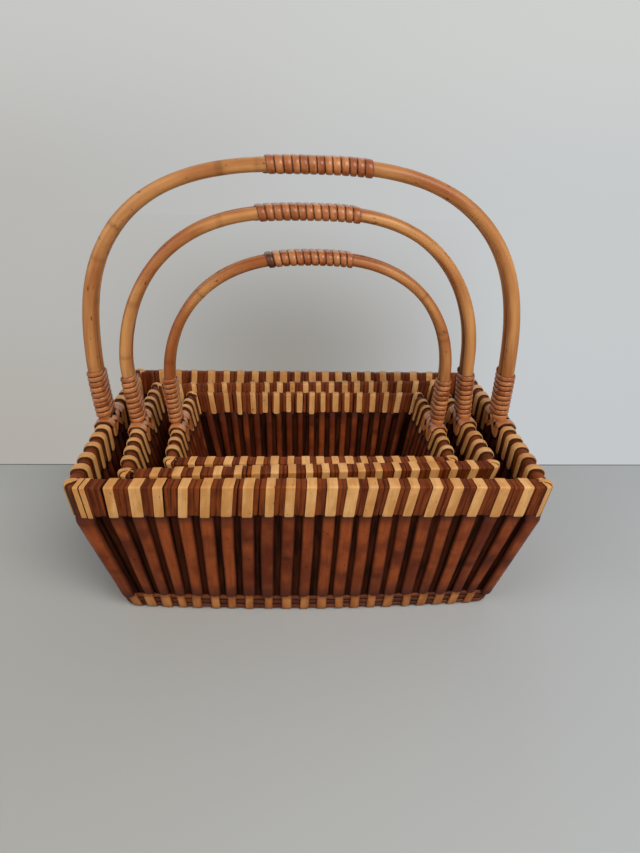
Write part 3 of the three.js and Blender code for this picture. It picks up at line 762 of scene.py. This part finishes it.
rim = {
    "overlap": 0.6 * mm, "darkThickness": 1.2 * mm, "darkWidth": 4.6 * mm, "backWidth": 0.88,
    "darkOverlap": 1 * mm, "darkReach": 1.4 * mm, "loneOverlap": 2.4 * mm,
    "longRounding": 2.6 * mm, "shortRounding": 6.2 * mm, "leastRounding": 0.8 * mm,
    "creaseDrop": 2.4 * mm, "longStep": 0.8 * mm, "shortStep": 2.2 * mm,
    "innerLift": 0.24, "innerSpread": 1.6 * mm, "slant": 0.6 * mm,
    "lightShift": 0.9 * mm, "darkShift": 0.36 * mm, "dirtAndShade": 0.22, "dirtHeight": 9 * mm, "endHeight": 1 * mm,
    "cornerWidth": 4.8 * mm, "cornerTurn": 0.38,
    "darkCornerWidth": 6.5 * mm, "darkTurns": (0.24, 0.785, 1.33),
    "twinShare": 0.999, "twinWidth": 4.3 * mm, "twinPlaces": (0.6 * mm, 5.9 * mm),
    "lastShare": 0.99, "lastPlace": 2.4 * mm, "lastWidth": 8 * mm, "poleClear": 1.5 * mm,
}


# The path of a splint folded over the rim: up the outside, over the top and down the inside. On
# the long sides it has a crease at the outer edge and slopes up to the inner one.
def rimPath(basket, side, inset, foot, innerFoot):
    isLong = side % 2 == 0
    rounding = (rim["longRounding"] if isLong else rim["shortRounding"]) - inset * 0.6
    rounding = max(rounding, rim["leastRounding"])
    drop = rim["creaseDrop"] if isLong else 0
    width, top = basket["rimWidth"] - 2 * inset, basket["height"] - inset
    upTurn = math.pi / 2 - math.atan2(drop, width)
    outerTurn, innerTurn = spread(0, upTurn, 7), spread(upTurn, math.pi, 9)
    outerShoulder = top - drop - rounding * math.tan(upTurn / 2)
    innerShoulder = top - rounding * math.tan((math.pi - upTurn) / 2)
    rise = np.array([0, 0.4 * mm, 1.2 * mm, 4 * mm, 12 * mm])
    outerZ = basket["bandFoot"] + foot + rise
    innerZ = (basket["bandFoot"] + innerFoot + rise)[::-1]
    offset = np.concatenate([0 * outerZ, rounding * (np.cos(outerTurn) - 1),
                             rounding * (np.cos(innerTurn) + 1) - width, 0 * innerZ - width]) - inset
    z = np.concatenate([outerZ, outerShoulder + rounding * np.sin(outerTurn),
                        innerShoulder + rounding * np.sin(innerTurn), innerZ])
    turn = np.concatenate([0 * outerZ, outerTurn, innerTurn, 0 * innerZ + math.pi])
    ends = np.concatenate([[0.6, 0.84, 0.97], np.ones(len(z) - 6), [0.97, 0.84, 0.6]])
    return offset, z, np.cos(turn), np.sin(turn), ends


# Where the rim's splints lie on a side: their share of the way along, shift and width. At a corner
# the shift is a turn round it.
def rimPlaces(basket, side, isLight):
    count = stakeCount(basket, side)
    lightWidth = basket["lightWidth"] * (rim["backWidth"] if side == 2 else 1)
    if isLight:
        places = [(stakeShare(basket, side, number), 0, lightWidth) for number in range(1, count - 1)]
        left, right = ((end, rim["cornerTurn"], rim["cornerWidth"]) for end in (-1, 1))
        if basket["hasUnevenCorners"] and side == 0:
            twins = [(-rim["twinShare"], place, rim["twinWidth"]) for place in rim["twinPlaces"]]
            return [*places, *twins, right]
        if basket["hasUnevenCorners"] and side == 3:
            return [*places, (rim["lastShare"], rim["lastPlace"], rim["lastWidth"]), left]
        return [*places, left, right]
    places = [(1, turn, rim["darkCornerWidth"]) for turn in rim["darkTurns"]]
    for number in range(count - 1):
        share = stakeShare(basket, side, number + 0.5)
        gap = stakePitch(basket, side, share, basket["height"]) - lightWidth
        pieces = max(1, round(gap / rim["darkWidth"])) if side % 2 == 0 else 1
        width = gap / pieces + (rim["darkOverlap"] if pieces > 1 else rim["loneOverlap"])
        for piece in range(pieces):
            part = (piece + 0.5) / pieces - 0.5
            places.append((share, part * (gap + rim["darkReach"]), width))
    return places


# The splints folded over the rim: a pale one in line with each stake, standing proud of the
# dark ones between them. The last of each side is narrow and lies round the corner.
def makeRimSplints(basket, isLight):
    strands = Strands(basket)
    kind, section = ("light", foldSection) if isLight else ("dark", flatSection)
    for side in sideNumbers:
        dice = diceFor(basket, kind, "rim", side)
        step = rim["longStep"] if side % 2 == 0 else rim["shortStep"]
        atPole = 0 if side % 2 == 0 else basket["poleDiameter"] + rim["poleClear"]
        thickness = step + rim["overlap"] if isLight else rim["darkThickness"]
        for share, shift, width in rimPlaces(basket, side, isLight):
            inset = dice.uniform(0, 0.3) * mm if isLight else step + dice.uniform(0, 0.35) * mm
            foot = dice.uniform(-0.9, 0.5) * mm if isLight else dice.uniform(0.6, 1.4) * mm
            innerFoot = basket["bandHeight"] * rim["innerLift"] + dice.uniform(-1, 1) * rim["innerSpread"]
            offset, z, normalOut, normalUp, ends = rimPath(basket, side, inset, foot, innerFoot)
            along = alongAt(basket, side, share, 0.25 * offset, z)
            if abs(along[len(along) // 2]) < atPole:
                continue
            if abs(share) < rim["twinShare"]:
                width = width * dice.uniform(0.86, 1.14)
                shift = shift + dice.uniform(-1, 1) * rim[f"{kind}Shift"]
            slant = dice.uniform(-1, 1) * rim["slant"] * (basket["height"] - z) / basket["bandHeight"]
            path = (along + shift + slant, offset, z, normalOut, normalUp)
            # A painted shadow line at each splint's lower outer end, and some dirt over its lower part.
            endShadow = fading(z - z[0], rim["endHeight"]) * (normalOut > 0.9)
            dirtAndShade = endShadow + rim["dirtAndShade"] * fading(z - z[0], rim["dirtHeight"])
            shape, tone = (width * ends, thickness, section), dice.random()
            if abs(share) == 1:
                rings = cornerStrand(basket, side, share, shift, path, *shape)
                strands.add(rings, tone, dirtAndShade, 0, edgesOf(section))
            else:
                strands.addOnWall(side, path, *shape, tone, dirtAndShade)
    if isLight:
        wraps = [f"{name}_rim_wrap" for name in sideNames]
        strands.build("light_rim_splints", "peeled", "peeled_splint", *wraps)
    else:
        strands.build("dark_rim_splints", "dark", "dark_splint")


mat = {
    "pitch": 13 * mm, "width": 11.6 * mm, "thickness": 1.1 * mm, "wave": 0.9 * mm, "waveSteps": 6,
    "top": 9.6 * mm, "tuck": 4 * mm, "measuredAt": 10 * mm, "placeSpread": 0.4 * mm, "dirtAndShade": 0.25,
}


# A mat of flat splints, each over and under the crossing ones.
def makeFloor(basket):
    strands = Strands(basket)
    inset = basket["rimWidth"] - mat["tuck"]
    halfX, halfY = (halfAlong(basket, side, mat["measuredAt"]) - inset for side in (0, 1))
    dice = diceFor(basket, "mat")
    level = mat["top"] - mat["wave"] - mat["thickness"]
    for isAcross in (False, True):
        halfOwn, halfOther = (halfY, halfX) if isAcross else (halfX, halfY)
        count, crossings = (max(2, round(2 * half / mat["pitch"])) for half in (halfOther, halfOwn))
        pitch = 2 * halfOther / count
        for number in range(count):
            place = (number + 0.5) * pitch - halfOther + dice.uniform(-1, 1) * mat["placeSpread"]
            own = spread(-halfOwn, halfOwn, crossings * mat["waveSteps"] + 1)
            phase = math.pi * (own + halfOwn) / (2 * halfOwn / crossings)
            z = level + (-1) ** (number + isAcross) * mat["wave"] * np.sin(phase)
            half = pitch / mat["pitch"] * mat["width"] / 2 * dice.uniform(0.93, 1.03)
            up = z[:, None] + flatSection[:, 1] * mat["thickness"]
            ownGrid, acrossGrid = np.broadcast_arrays(own[:, None], flatSection[:, 0] * half + place)
            x, y = (acrossGrid, ownGrid) if isAcross else (ownGrid, acrossGrid)
            rings = placed(basket, np.stack([x, y, up], axis=-1))
            strands.add(rings, dice.random(), mat["dirtAndShade"], 0, edgesOf(flatSection))
    strands.build("floor_mat", "mat", "floor_mat", "floor")


# Distance from the middle to the middle of the wall at the handle, at height z.
def footPlace(basket, z):
    share = min(1, z / basket["bandFoot"])
    bow = basket["sideBaseBow"] + (basket["sideRimBow"] - basket["sideBaseBow"]) * share
    return halfAlong(basket, 0, z) - basket["rimWidth"] / 2 + bow


# A smooth line through points in the XZ plane, even where they stand at uneven distances.
def smoothLine(points, perSpan=8):
    points = np.array(points)
    padded = np.concatenate([[2 * points[0] - points[1]], points, [2 * points[-1] - points[-2]]])
    knots = reachedAlong(padded, 0.5)
    line = []
    for span in range(1, len(padded) - 2):
        p, k = padded[span - 1:span + 3], knots[span - 1:span + 3]
        t = np.linspace(k[1], k[2], perSpan, endpoint=False)[:, None]
        for apart in (1, 2):
            p = [((k[i + apart] - t) * p[i] + (t - k[i]) * p[i + 1]) / (k[i + apart] - k[i])
                 for i in range(4 - apart)]
        line.append(((k[2] - t) * p[0] + (t - k[1]) * p[1]) / (k[2] - k[1]))
    return np.concatenate([*line, points[-1:]])


handle = {
    "step": 1.5 * mm, "reach": 5, "arcPoints": 41, "rimClear": 0.3 * mm,
    "legShares": (0, 0.3, 0.65), "legBulge": 0.5,
}


# The middle line of a handle, from the left foot over the crown to the right foot.
class HandleLine:
    def __init__(self, basket):
        rimTop = basket["height"] + handle["rimClear"]
        foot = footPlace(basket, basket["height"])
        spring = basket["height"] + basket["springRise"]
        rise = basket["archRise"] - basket["springRise"]
        points = []
        for turn in spread(math.pi, 0, handle["arcPoints"]):
            side = math.copysign(1, math.cos(turn))
            across = side * abs(math.cos(turn)) ** (2 / basket["shoulderAcross"])
            up = abs(math.sin(turn)) ** (2 / basket["shoulderUp"])
            shift = basket["archShift"] + basket["crownLean"] * up
            points.append(((foot + basket["legSpread"]) * across + shift, spring + rise * up))

        def leg(footX, topX):
            bulge = handle["legBulge"]
            return [(footX + (topX - footX) * share * (1 + bulge - bulge * share),
                     rimTop + (spring - rimTop) * share) for share in handle["legShares"]]

        left = leg(-foot - basket["leftFootOut"], points[0][0])
        right = leg(foot + basket["rightFootOut"], points[-1][0])
        rough = smoothLine(left + points + right[::-1])
        reached = reachedAlong(rough)
        self.length = reached[-1]
        self.distances = spread(0, self.length, round(self.length / handle["step"]) + 1)
        even = np.stack([np.interp(self.distances, reached, part) for part in rough.T], axis=-1)
        self.points = self.smoothed(even)
        self.course = self.smoothed(np.gradient(self.points, axis=0))

    # The values with each one averaged over its neighbours.
    def smoothed(self, values):
        reach = handle["reach"]
        window = np.hanning(2 * reach + 3)[1:-1]
        padded = np.pad(values, ((reach, reach), (0, 0)), mode="reflect", reflect_type="odd")
        return np.stack([np.convolve(part, window / window.sum(), "valid") for part in padded.T], axis=-1)

    # Points beside the line: at a distance along it, across it in Y, and outward from it.
    def at(self, distance, across, out):
        x, z, dx, dz = (np.interp(distance, self.distances, values[:, part])
                        for values in (self.points, self.course) for part in (0, 1))
        size = np.hypot(dx, dz)
        return np.stack(np.broadcast_arrays(x - dz / size * out, across, z + dx / size * out), axis=-1)


poles = {
    "sides": 20, "steps": 220, "wander": 0.012, "wanderLength": 200 * mm, "mostSwell": 1.02,
    "nodes": 5, "nodeLength": 2.5 * mm, "nodeSwell": 0.03, "nodeMark": 0.35, "mostMark": 0.45,
    "tail": 40 * mm, "tailShare": 0.42, "rootDrop": 4 * mm, "rootShare": 0.75, "tailShade": 0.5,
    "dirtAndShade": 0.4, "dirtLength": 70 * mm, "toneSpread": 0.08,
}


# The two bent poles of a handle, side by side, with tails down in the walls.
def makePoles(basket, line):
    radius = basket["poleDiameter"] / 2
    acrossShare, outShare = circleOf(poles["sides"])
    for name, sign in (("front", -1), ("back", 1)):
        dice = diceFor(basket, name, "pole")
        distance = spread(0, line.length, poles["steps"])
        swell = 1 + poles["wander"] * wander(dice, distance, poles["wanderLength"])
        mark = np.zeros_like(distance)
        for _ in range(poles["nodes"]):
            node = dice.uniform(0.08, 0.92) * line.length
            swell += poles["nodeSwell"] * hump(distance, node, 2 * poles["nodeLength"])
            mark += poles["nodeMark"] * hump(distance, node, 0.7 * poles["nodeLength"])
        reach = radius * np.minimum(swell, poles["mostSwell"])[:, None]
        middle = sign * (radius + poleGap)
        rings = line.at(distance[:, None], middle + sign * acrossShare * reach, outShare * reach)
        left, right = (tailRings(basket, rings[end], way, middle) for end, way in ((0, -1), (-1, 1)))
        rings = placed(basket, np.concatenate([left, rings, right[::-1]]))
        mark = np.pad(np.minimum(mark, poles["mostMark"]), len(left))
        dirtAndShade = poles["dirtAndShade"] * fading(np.minimum(distance, line.length - distance), poles["dirtLength"])
        # The tails, down inside the walls, get painted shade.
        dirtAndShade = np.pad(dirtAndShade, len(left), constant_values=poles["tailShade"])
        tone = basket["poleTone"] + dice.uniform(-1, 1) * poles["toneSpread"]
        strands = Strands(basket)
        # Painted shade on the half of each pole that faces the other.
        strands.add(rings, tone, dirtAndShade, mark, 0.5 - 0.5 * acrossShare)
        strands.build(f"{name}_pole", "pole", "honey_pole", f"{name}_handle_pole")


# Two rings of a pole's tail, from its lower end up, narrowed to fit between the layers of stakes.
def tailRings(basket, ring, way, middle):
    centre = np.array([ring[:, 0].mean(), middle, 0])
    rings = []
    for drop in (poles["tail"], poles["rootDrop"]):
        z = basket["height"] - drop
        squeezed = (ring - centre) * (poles["tailShare"], poles["rootShare"], 0)
        share = 0.5 * (1 - drop / poles["tail"])
        x = way * footPlace(basket, z) * (1 - share) + centre[0] * share
        rings.append(squeezed + (x, middle, z))
    return np.array(rings)


winding = {
    "thickness": 1.7 * mm, "clear": 0.15 * mm, "gap": 0.45 * mm, "arcSteps": 13, "crownSteps": 7,
    "edge": 0.2, "roundness": 0.6, "backWidth": 0.9, "flat": 2, "dirtAndShade": 0.1,
    "knotTone": 1.4, "knotDirt": 0.75, "toneEnd": 0.9,
    "legPitch": 5.2 * mm, "legTurns": 9, "legStart": 1 * mm,
}


# Split cane wound round both poles in one unbroken run. Its turns differ a little in width.
def makeWinding(basket, line, name, start, turns, pitch):
    dice = diceFor(basket, f"{name}_cane")
    radius = basket["poleDiameter"] / 2
    widths = np.array([dice.uniform(0.88, 1.12) for _ in range(turns + 1)])
    widths = widths / widths[:turns].sum() * turns * pitch
    edges = np.concatenate([[0], np.cumsum(widths)])
    middles = (edges[:-1] + edges[1:]) / 2 - widths[0] / 2
    tones = np.array([dice.uniform(0.25, 0.8) for _ in range(turns + 1)])
    dirts = np.full(turns + 1, winding["dirtAndShade"])
    if basket["hasKnot"] and name.startswith("grip"):
        tones[1], dirts[0] = winding["knotTone"], winding["knotDirt"]
    arc = spread(-math.pi / 2, math.pi / 2, winding["arcSteps"])
    side = np.repeat([1, -1], len(arc))
    lengths = np.concatenate([arc - arc[0], arc - arc[0] + math.pi + winding["flat"]])
    share = lengths / (lengths[-1] + winding["flat"])
    place = (np.arange(turns)[:, None] + share).ravel()
    angle, side = np.tile(np.concatenate([arc, math.pi + arc]), turns), np.tile(side, turns)
    distance = start + np.interp(place, np.arange(turns + 1), middles)
    half = (np.interp(place, np.arange(turns + 1), widths) - winding["gap"]) / 2
    whole = place.astype(int)
    nextTone = np.interp(place % 1, [0, winding["toneEnd"], 1], [0, 0, 1])
    tone = tones[whole] * (1 - nextTone) + tones[whole + 1] * nextTone
    bend = spread(math.pi, 0, winding["crownSteps"])
    along = np.concatenate([np.cos(bend), [winding["backWidth"], -winding["backWidth"]]])
    crown = winding["edge"] + (1 - winding["edge"]) * np.sin(bend) ** winding["roundness"]
    reach = radius + winding["clear"] + np.concatenate([crown, [0, 0]]) * winding["thickness"]
    across = side[:, None] * (radius + poleGap) + np.cos(angle)[:, None] * reach
    rings = line.at(distance[:, None] + along * half[:, None], across, np.sin(angle)[:, None] * reach)
    strands = Strands(basket)
    # Painted shade at the edges of each turn, for the dark gaps between turns.
    strands.add(placed(basket, rings), tone, dirts[whole], 0, along ** 2)
    strands.build(f"{name}_cane", "cane", "handle_cane", name)


lashing = {
    "thickness": 1.5 * mm, "drop": 15 * mm, "collarWidth": 10 * mm, "collarLift": 2.2 * mm,
    "strandWidth": 5.98 * mm, "strandThickness": 1.2 * mm, "steps": 14, "above": 1.2 * mm,
    "start": 0.95, "startStep": -0.35, "end": -0.9, "endStep": -0.45, "dirtAndShade": 0.05,
    "proud": 1.135 * mm, "proudStep": 0.595 * mm,
    "overFrom": 4 * mm, "overLength": 5 * mm, "over": 3 * mm,
}


# The cane that ties a handle's foot to the rim: a collar on each side of the poles, and strands
# that cross on the inner and outer faces of the wall.
def makeLashing(basket, side):
    strands = Strands(basket)
    dice = diceFor(basket, sideNames[side], "lashing")
    reach, height = basket["poleDiameter"], basket["height"]
    for sign in (-1, 1):
        foot = basket["bandHeight"] - lashing["drop"]
        offset, z, normalOut, normalUp, ends = rimPath(basket, side, -lashing["collarLift"], foot, foot)
        path = (sign * (reach + lashing["collarWidth"] / 2), offset, z, normalOut, normalUp)
        thickness, tone = lashing["thickness"] + lashing["collarLift"], dice.uniform(0.8, 1.1)
        strands.addOnWall(side, path, lashing["collarWidth"] * ends, thickness, foldSection, tone, 0)
    z = height + spread(lashing["above"], -lashing["drop"], lashing["steps"])
    over = (1 - fading(z - height + lashing["overFrom"], lashing["overLength"])) ** 2 * lashing["over"]
    for facing in (1, -1):
        for number, sign in enumerate((-1, 1, -1, 1)):
            start = reach * (lashing["start"] + lashing["startStep"] * (number // 2))
            end = reach * (lashing["end"] + lashing["endStep"] * (number // 2))
            lift = lashing["proud"] + lashing["proudStep"] * (number % 2)
            offset = lift - over if facing > 0 else -basket["rimWidth"] - lift + over
            path = (sign * spread(start, end, lashing["steps"]), offset, z, facing, 0)
            strands.addOnWall(side, path, lashing["strandWidth"], lashing["strandThickness"],
                              flatSection, dice.uniform(0.5, 1), lashing["dirtAndShade"])
    name = f"{sideNames[side]}_lashing"
    strands.build(f"{name}_strands", "cane", "handle_cane", name)


def makeBasket(basket):
    makeStakes(basket, False)
    makeStakes(basket, True)
    makeBacking(basket)
    makeCore(basket)
    makeRods(basket)
    makePeeledEnds(basket)
    makeRimSplints(basket, True)
    makeRimSplints(basket, False)
    makeFloor(basket)
    line = HandleLine(basket)
    makePoles(basket, line)
    gripPitch = basket["gripLength"] / basket["gripTurns"]
    gripStart = (line.length - basket["gripLength"]) / 2 + basket["gripShift"]
    legTurns, legPitch, legStart = (winding[part] for part in ("legTurns", "legPitch", "legStart"))
    rightStart = line.length - legStart - legTurns * legPitch
    makeWinding(basket, line, "grip_winding", gripStart, basket["gripTurns"], gripPitch)
    makeWinding(basket, line, "left_leg_winding", legStart, legTurns, legPitch)
    makeWinding(basket, line, "right_leg_winding", rightStart, legTurns, legPitch)
    for side in (1, 3):
        makeLashing(basket, side)
    print(f"{basket['name']} basket made")


# Ranges are over x and y in metres, over x / reach sideways and over 1 / reach upward, where reach
# is the distance from the eye.
backdrop = {
    "wallFoot": 175 * mm, "lineWidth": 1.4 * mm, "size": 6, "eye": 600 * mm, "roughness": 0.75,
    "floorLeft": (182, 180, 171), "floorRight": (190, 194, 196), "floorSides": (-0.5, 0.5),
    "floorFar": (232, 233, 230), "farShare": 0.22, "farRange": (-0.35, 0.25),
    "lowLeft": (177, 173, 166), "lowRight": (196, 200, 203), "wallSides": (-0.45, 0.45),
    "highLeft": (184, 183, 180), "highRight": (199, 202, 203), "wallRange": (1.25, 0.35),
    "topLeft": (199, 199, 197), "topRight": (206, 208, 206), "topRange": (-0.1, 0.16),
    "line": (128, 128, 126), "shadow": (148, 144, 138), "shadowShare": 0.9,
    "shadowBearing": -0.01, "shadowSides": (0.38, 0), "shadowRange": (0.15, 0.8),
    "roomLight": (130, 133, 137),
}


# The wall's colour at a level, from its left to its right: a painted fall of light, brighter to the right.
def wallColour(surface, rightward, level):
    share = surface.ramp(rightward, *backdrop["wallSides"])
    return surface.mix(share, backdrop[f"{level}Left"], backdrop[f"{level}Right"])


# A pale floor with a painted fall of light, darker to the left and lighter towards the back. Behind
# the set it takes the colour of the wall, as does the world above it.
def makeFloorAndWall():
    surface = Surface(bpy.data.materials.new("paleFloor"))
    x, y, _ = surface.parts(surface.node("NewGeometry", "Position"))
    sideways = surface.ramp(x, *backdrop["floorSides"])
    floor = surface.mix(sideways, backdrop["floorLeft"], backdrop["floorRight"])
    far = surface.ramp(y, *backdrop["farRange"]) * backdrop["farShare"]
    floor = surface.mix(far, floor, backdrop["floorFar"])
    reach = y + backdrop["eye"]
    low, high = (wallColour(surface, x / reach, level) for level in ("low", "high"))
    # Painted light on the wall: darker low down, lighter higher up.
    wall = surface.mix(surface.ramp(1 / reach, *backdrop["wallRange"]), low, high)
    # A painted shadow of the baskets on the wall behind them.
    bearing = surface.maths("ABSOLUTE", x / reach - backdrop["shadowBearing"])
    shaded = surface.ramp(bearing, *backdrop["shadowSides"])
    shaded = shaded * surface.ramp(1 / reach, *backdrop["shadowRange"]) * backdrop["shadowShare"]
    wall = surface.mix(shaded, wall, backdrop["shadow"])
    # A painted dark line of shade where the wall meets the floor.
    atLine = surface.maths("COMPARE", y, backdrop["wallFoot"], backdrop["lineWidth"])
    floor = surface.mix(atLine, floor, backdrop["line"])
    material = surface.finish({"Base Color": floor, "Roughness": backdrop["roughness"]})
    # Beyond that line the camera sees the wall as a glow: painted light that no lamp changes.
    beyond = surface.maths("GREATER_THAN", y, backdrop["wallFoot"] + backdrop["lineWidth"])
    seen = surface.node("LightPath", "Is Camera Ray")
    shown = surface.node("Emission", "Emission", inputs={"Color": wall, "Strength": 1})
    lit = Value(surface, surface.shader.outputs[0])
    mixed = surface.node("MixShader", 0, inputs={0: beyond * seen, 1: lit, 2: shown})
    surface.link(mixed, surface.tree.nodes["Material Output"].inputs["Surface"])
    half = backdrop["size"] / 2
    mesh = bpy.data.meshes.new("floor")
    corners = [(-half, -half, 0), (half, -half, 0), (half, half, 0), (-half, half, 0)]
    mesh.from_pydata(corners, [], [(0, 1, 2, 3)])
    mesh.materials.append(material)
    floorPiece = inScene("floor", mesh)
    floorPiece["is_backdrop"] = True


lamps = (
    {"name": "key", "place": (0.6, -1.1, 1.15), "size": 0.9, "watts": 16.5, "tint": (1, 0.97, 0.93)},
    {"name": "fill", "place": (-1.1, -0.8, 0.9), "size": 1.2, "watts": 7, "tint": (0.95, 0.97, 1)},
    {"name": "back", "place": (0.2, 1.2, 1.4), "size": 1.2, "watts": 2.5, "tint": (1, 1, 1)},
)
lampTarget = Vector((0, 0, 0.12))


def makeLights():
    for lamp in lamps:
        data = bpy.data.lights.new(lamp["name"], "AREA")
        data.size = lamp["size"]
        data.energy = lamp["watts"]
        data.color = lamp["tint"]
        light = inScene(lamp["name"], data)
        light.location = lamp["place"]
        light.rotation_mode = "QUATERNION"
        light.rotation_quaternion = (lampTarget - light.location).to_track_quat("-Z", "Y")
    world = bpy.data.worlds.new("room")
    bpy.context.scene.world = world
    sky = Surface(world)
    # Seen by the camera and in reflections the world shows the wall's painted light, brighter to the right
    # and upward; it lights the set with a plain room colour.
    rightward, _, up = sky.parts(sky.node("TexCoord", "Generated"))
    high, top = (wallColour(sky, rightward, level) for level in ("high", "top"))
    shown = sky.mix(sky.ramp(up, *backdrop["topRange"]), high, top)
    rays = [sky.node("LightPath", f"Is {kind} Ray") for kind in ("Camera", "Glossy", "Transmission")]
    isShown = sky.maths("MINIMUM", rays[0] + rays[1] + rays[2], 1)
    light = sky.tree.nodes["Background"]
    sky.link(sky.mix(isShown, backdrop["roomLight"], shown), light.inputs["Color"])
    sky.link(1, light.inputs["Strength"])


photoView = {
    "place": (-21.5 * mm, -599.7 * mm, 410.2 * mm), "down": 24.47, "right": 3.24, "roll": 1.58,
    "lens": 27.22, "sensor": 36,
}


def makeCamera():
    down, right, roll = (math.radians(photoView[name]) for name in ("down", "right", "roll"))
    ahead = Vector((math.sin(right) * math.cos(down), math.cos(right) * math.cos(down), -math.sin(down)))
    level = Vector((math.cos(right), -math.sin(right), 0))
    upright = level.cross(ahead)
    across = level * math.cos(roll) + upright * math.sin(roll)
    upward = upright * math.cos(roll) - level * math.sin(roll)
    data = bpy.data.cameras.new("photoCamera")
    data.sensor_width = photoView["sensor"]
    data.lens = photoView["lens"]
    camera = inScene("photoCamera", data)
    turn = Matrix((across, upward, -ahead)).transposed()
    camera.matrix_world = Matrix.Translation(photoView["place"]) @ turn.to_4x4()
    bpy.context.scene.camera = camera


makeCamera()
makeFloorAndWall()
makeLights()
print("camera, floor and lights made")
for basket in baskets:
    makeBasket(basket)
bpy.context.scene.view_settings.view_transform = "Standard"
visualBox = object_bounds()
boxes = {"cad": cadBox, "visual": visualBox}
{name: [list(corner) for corner in box] for name, box in boxes.items()}
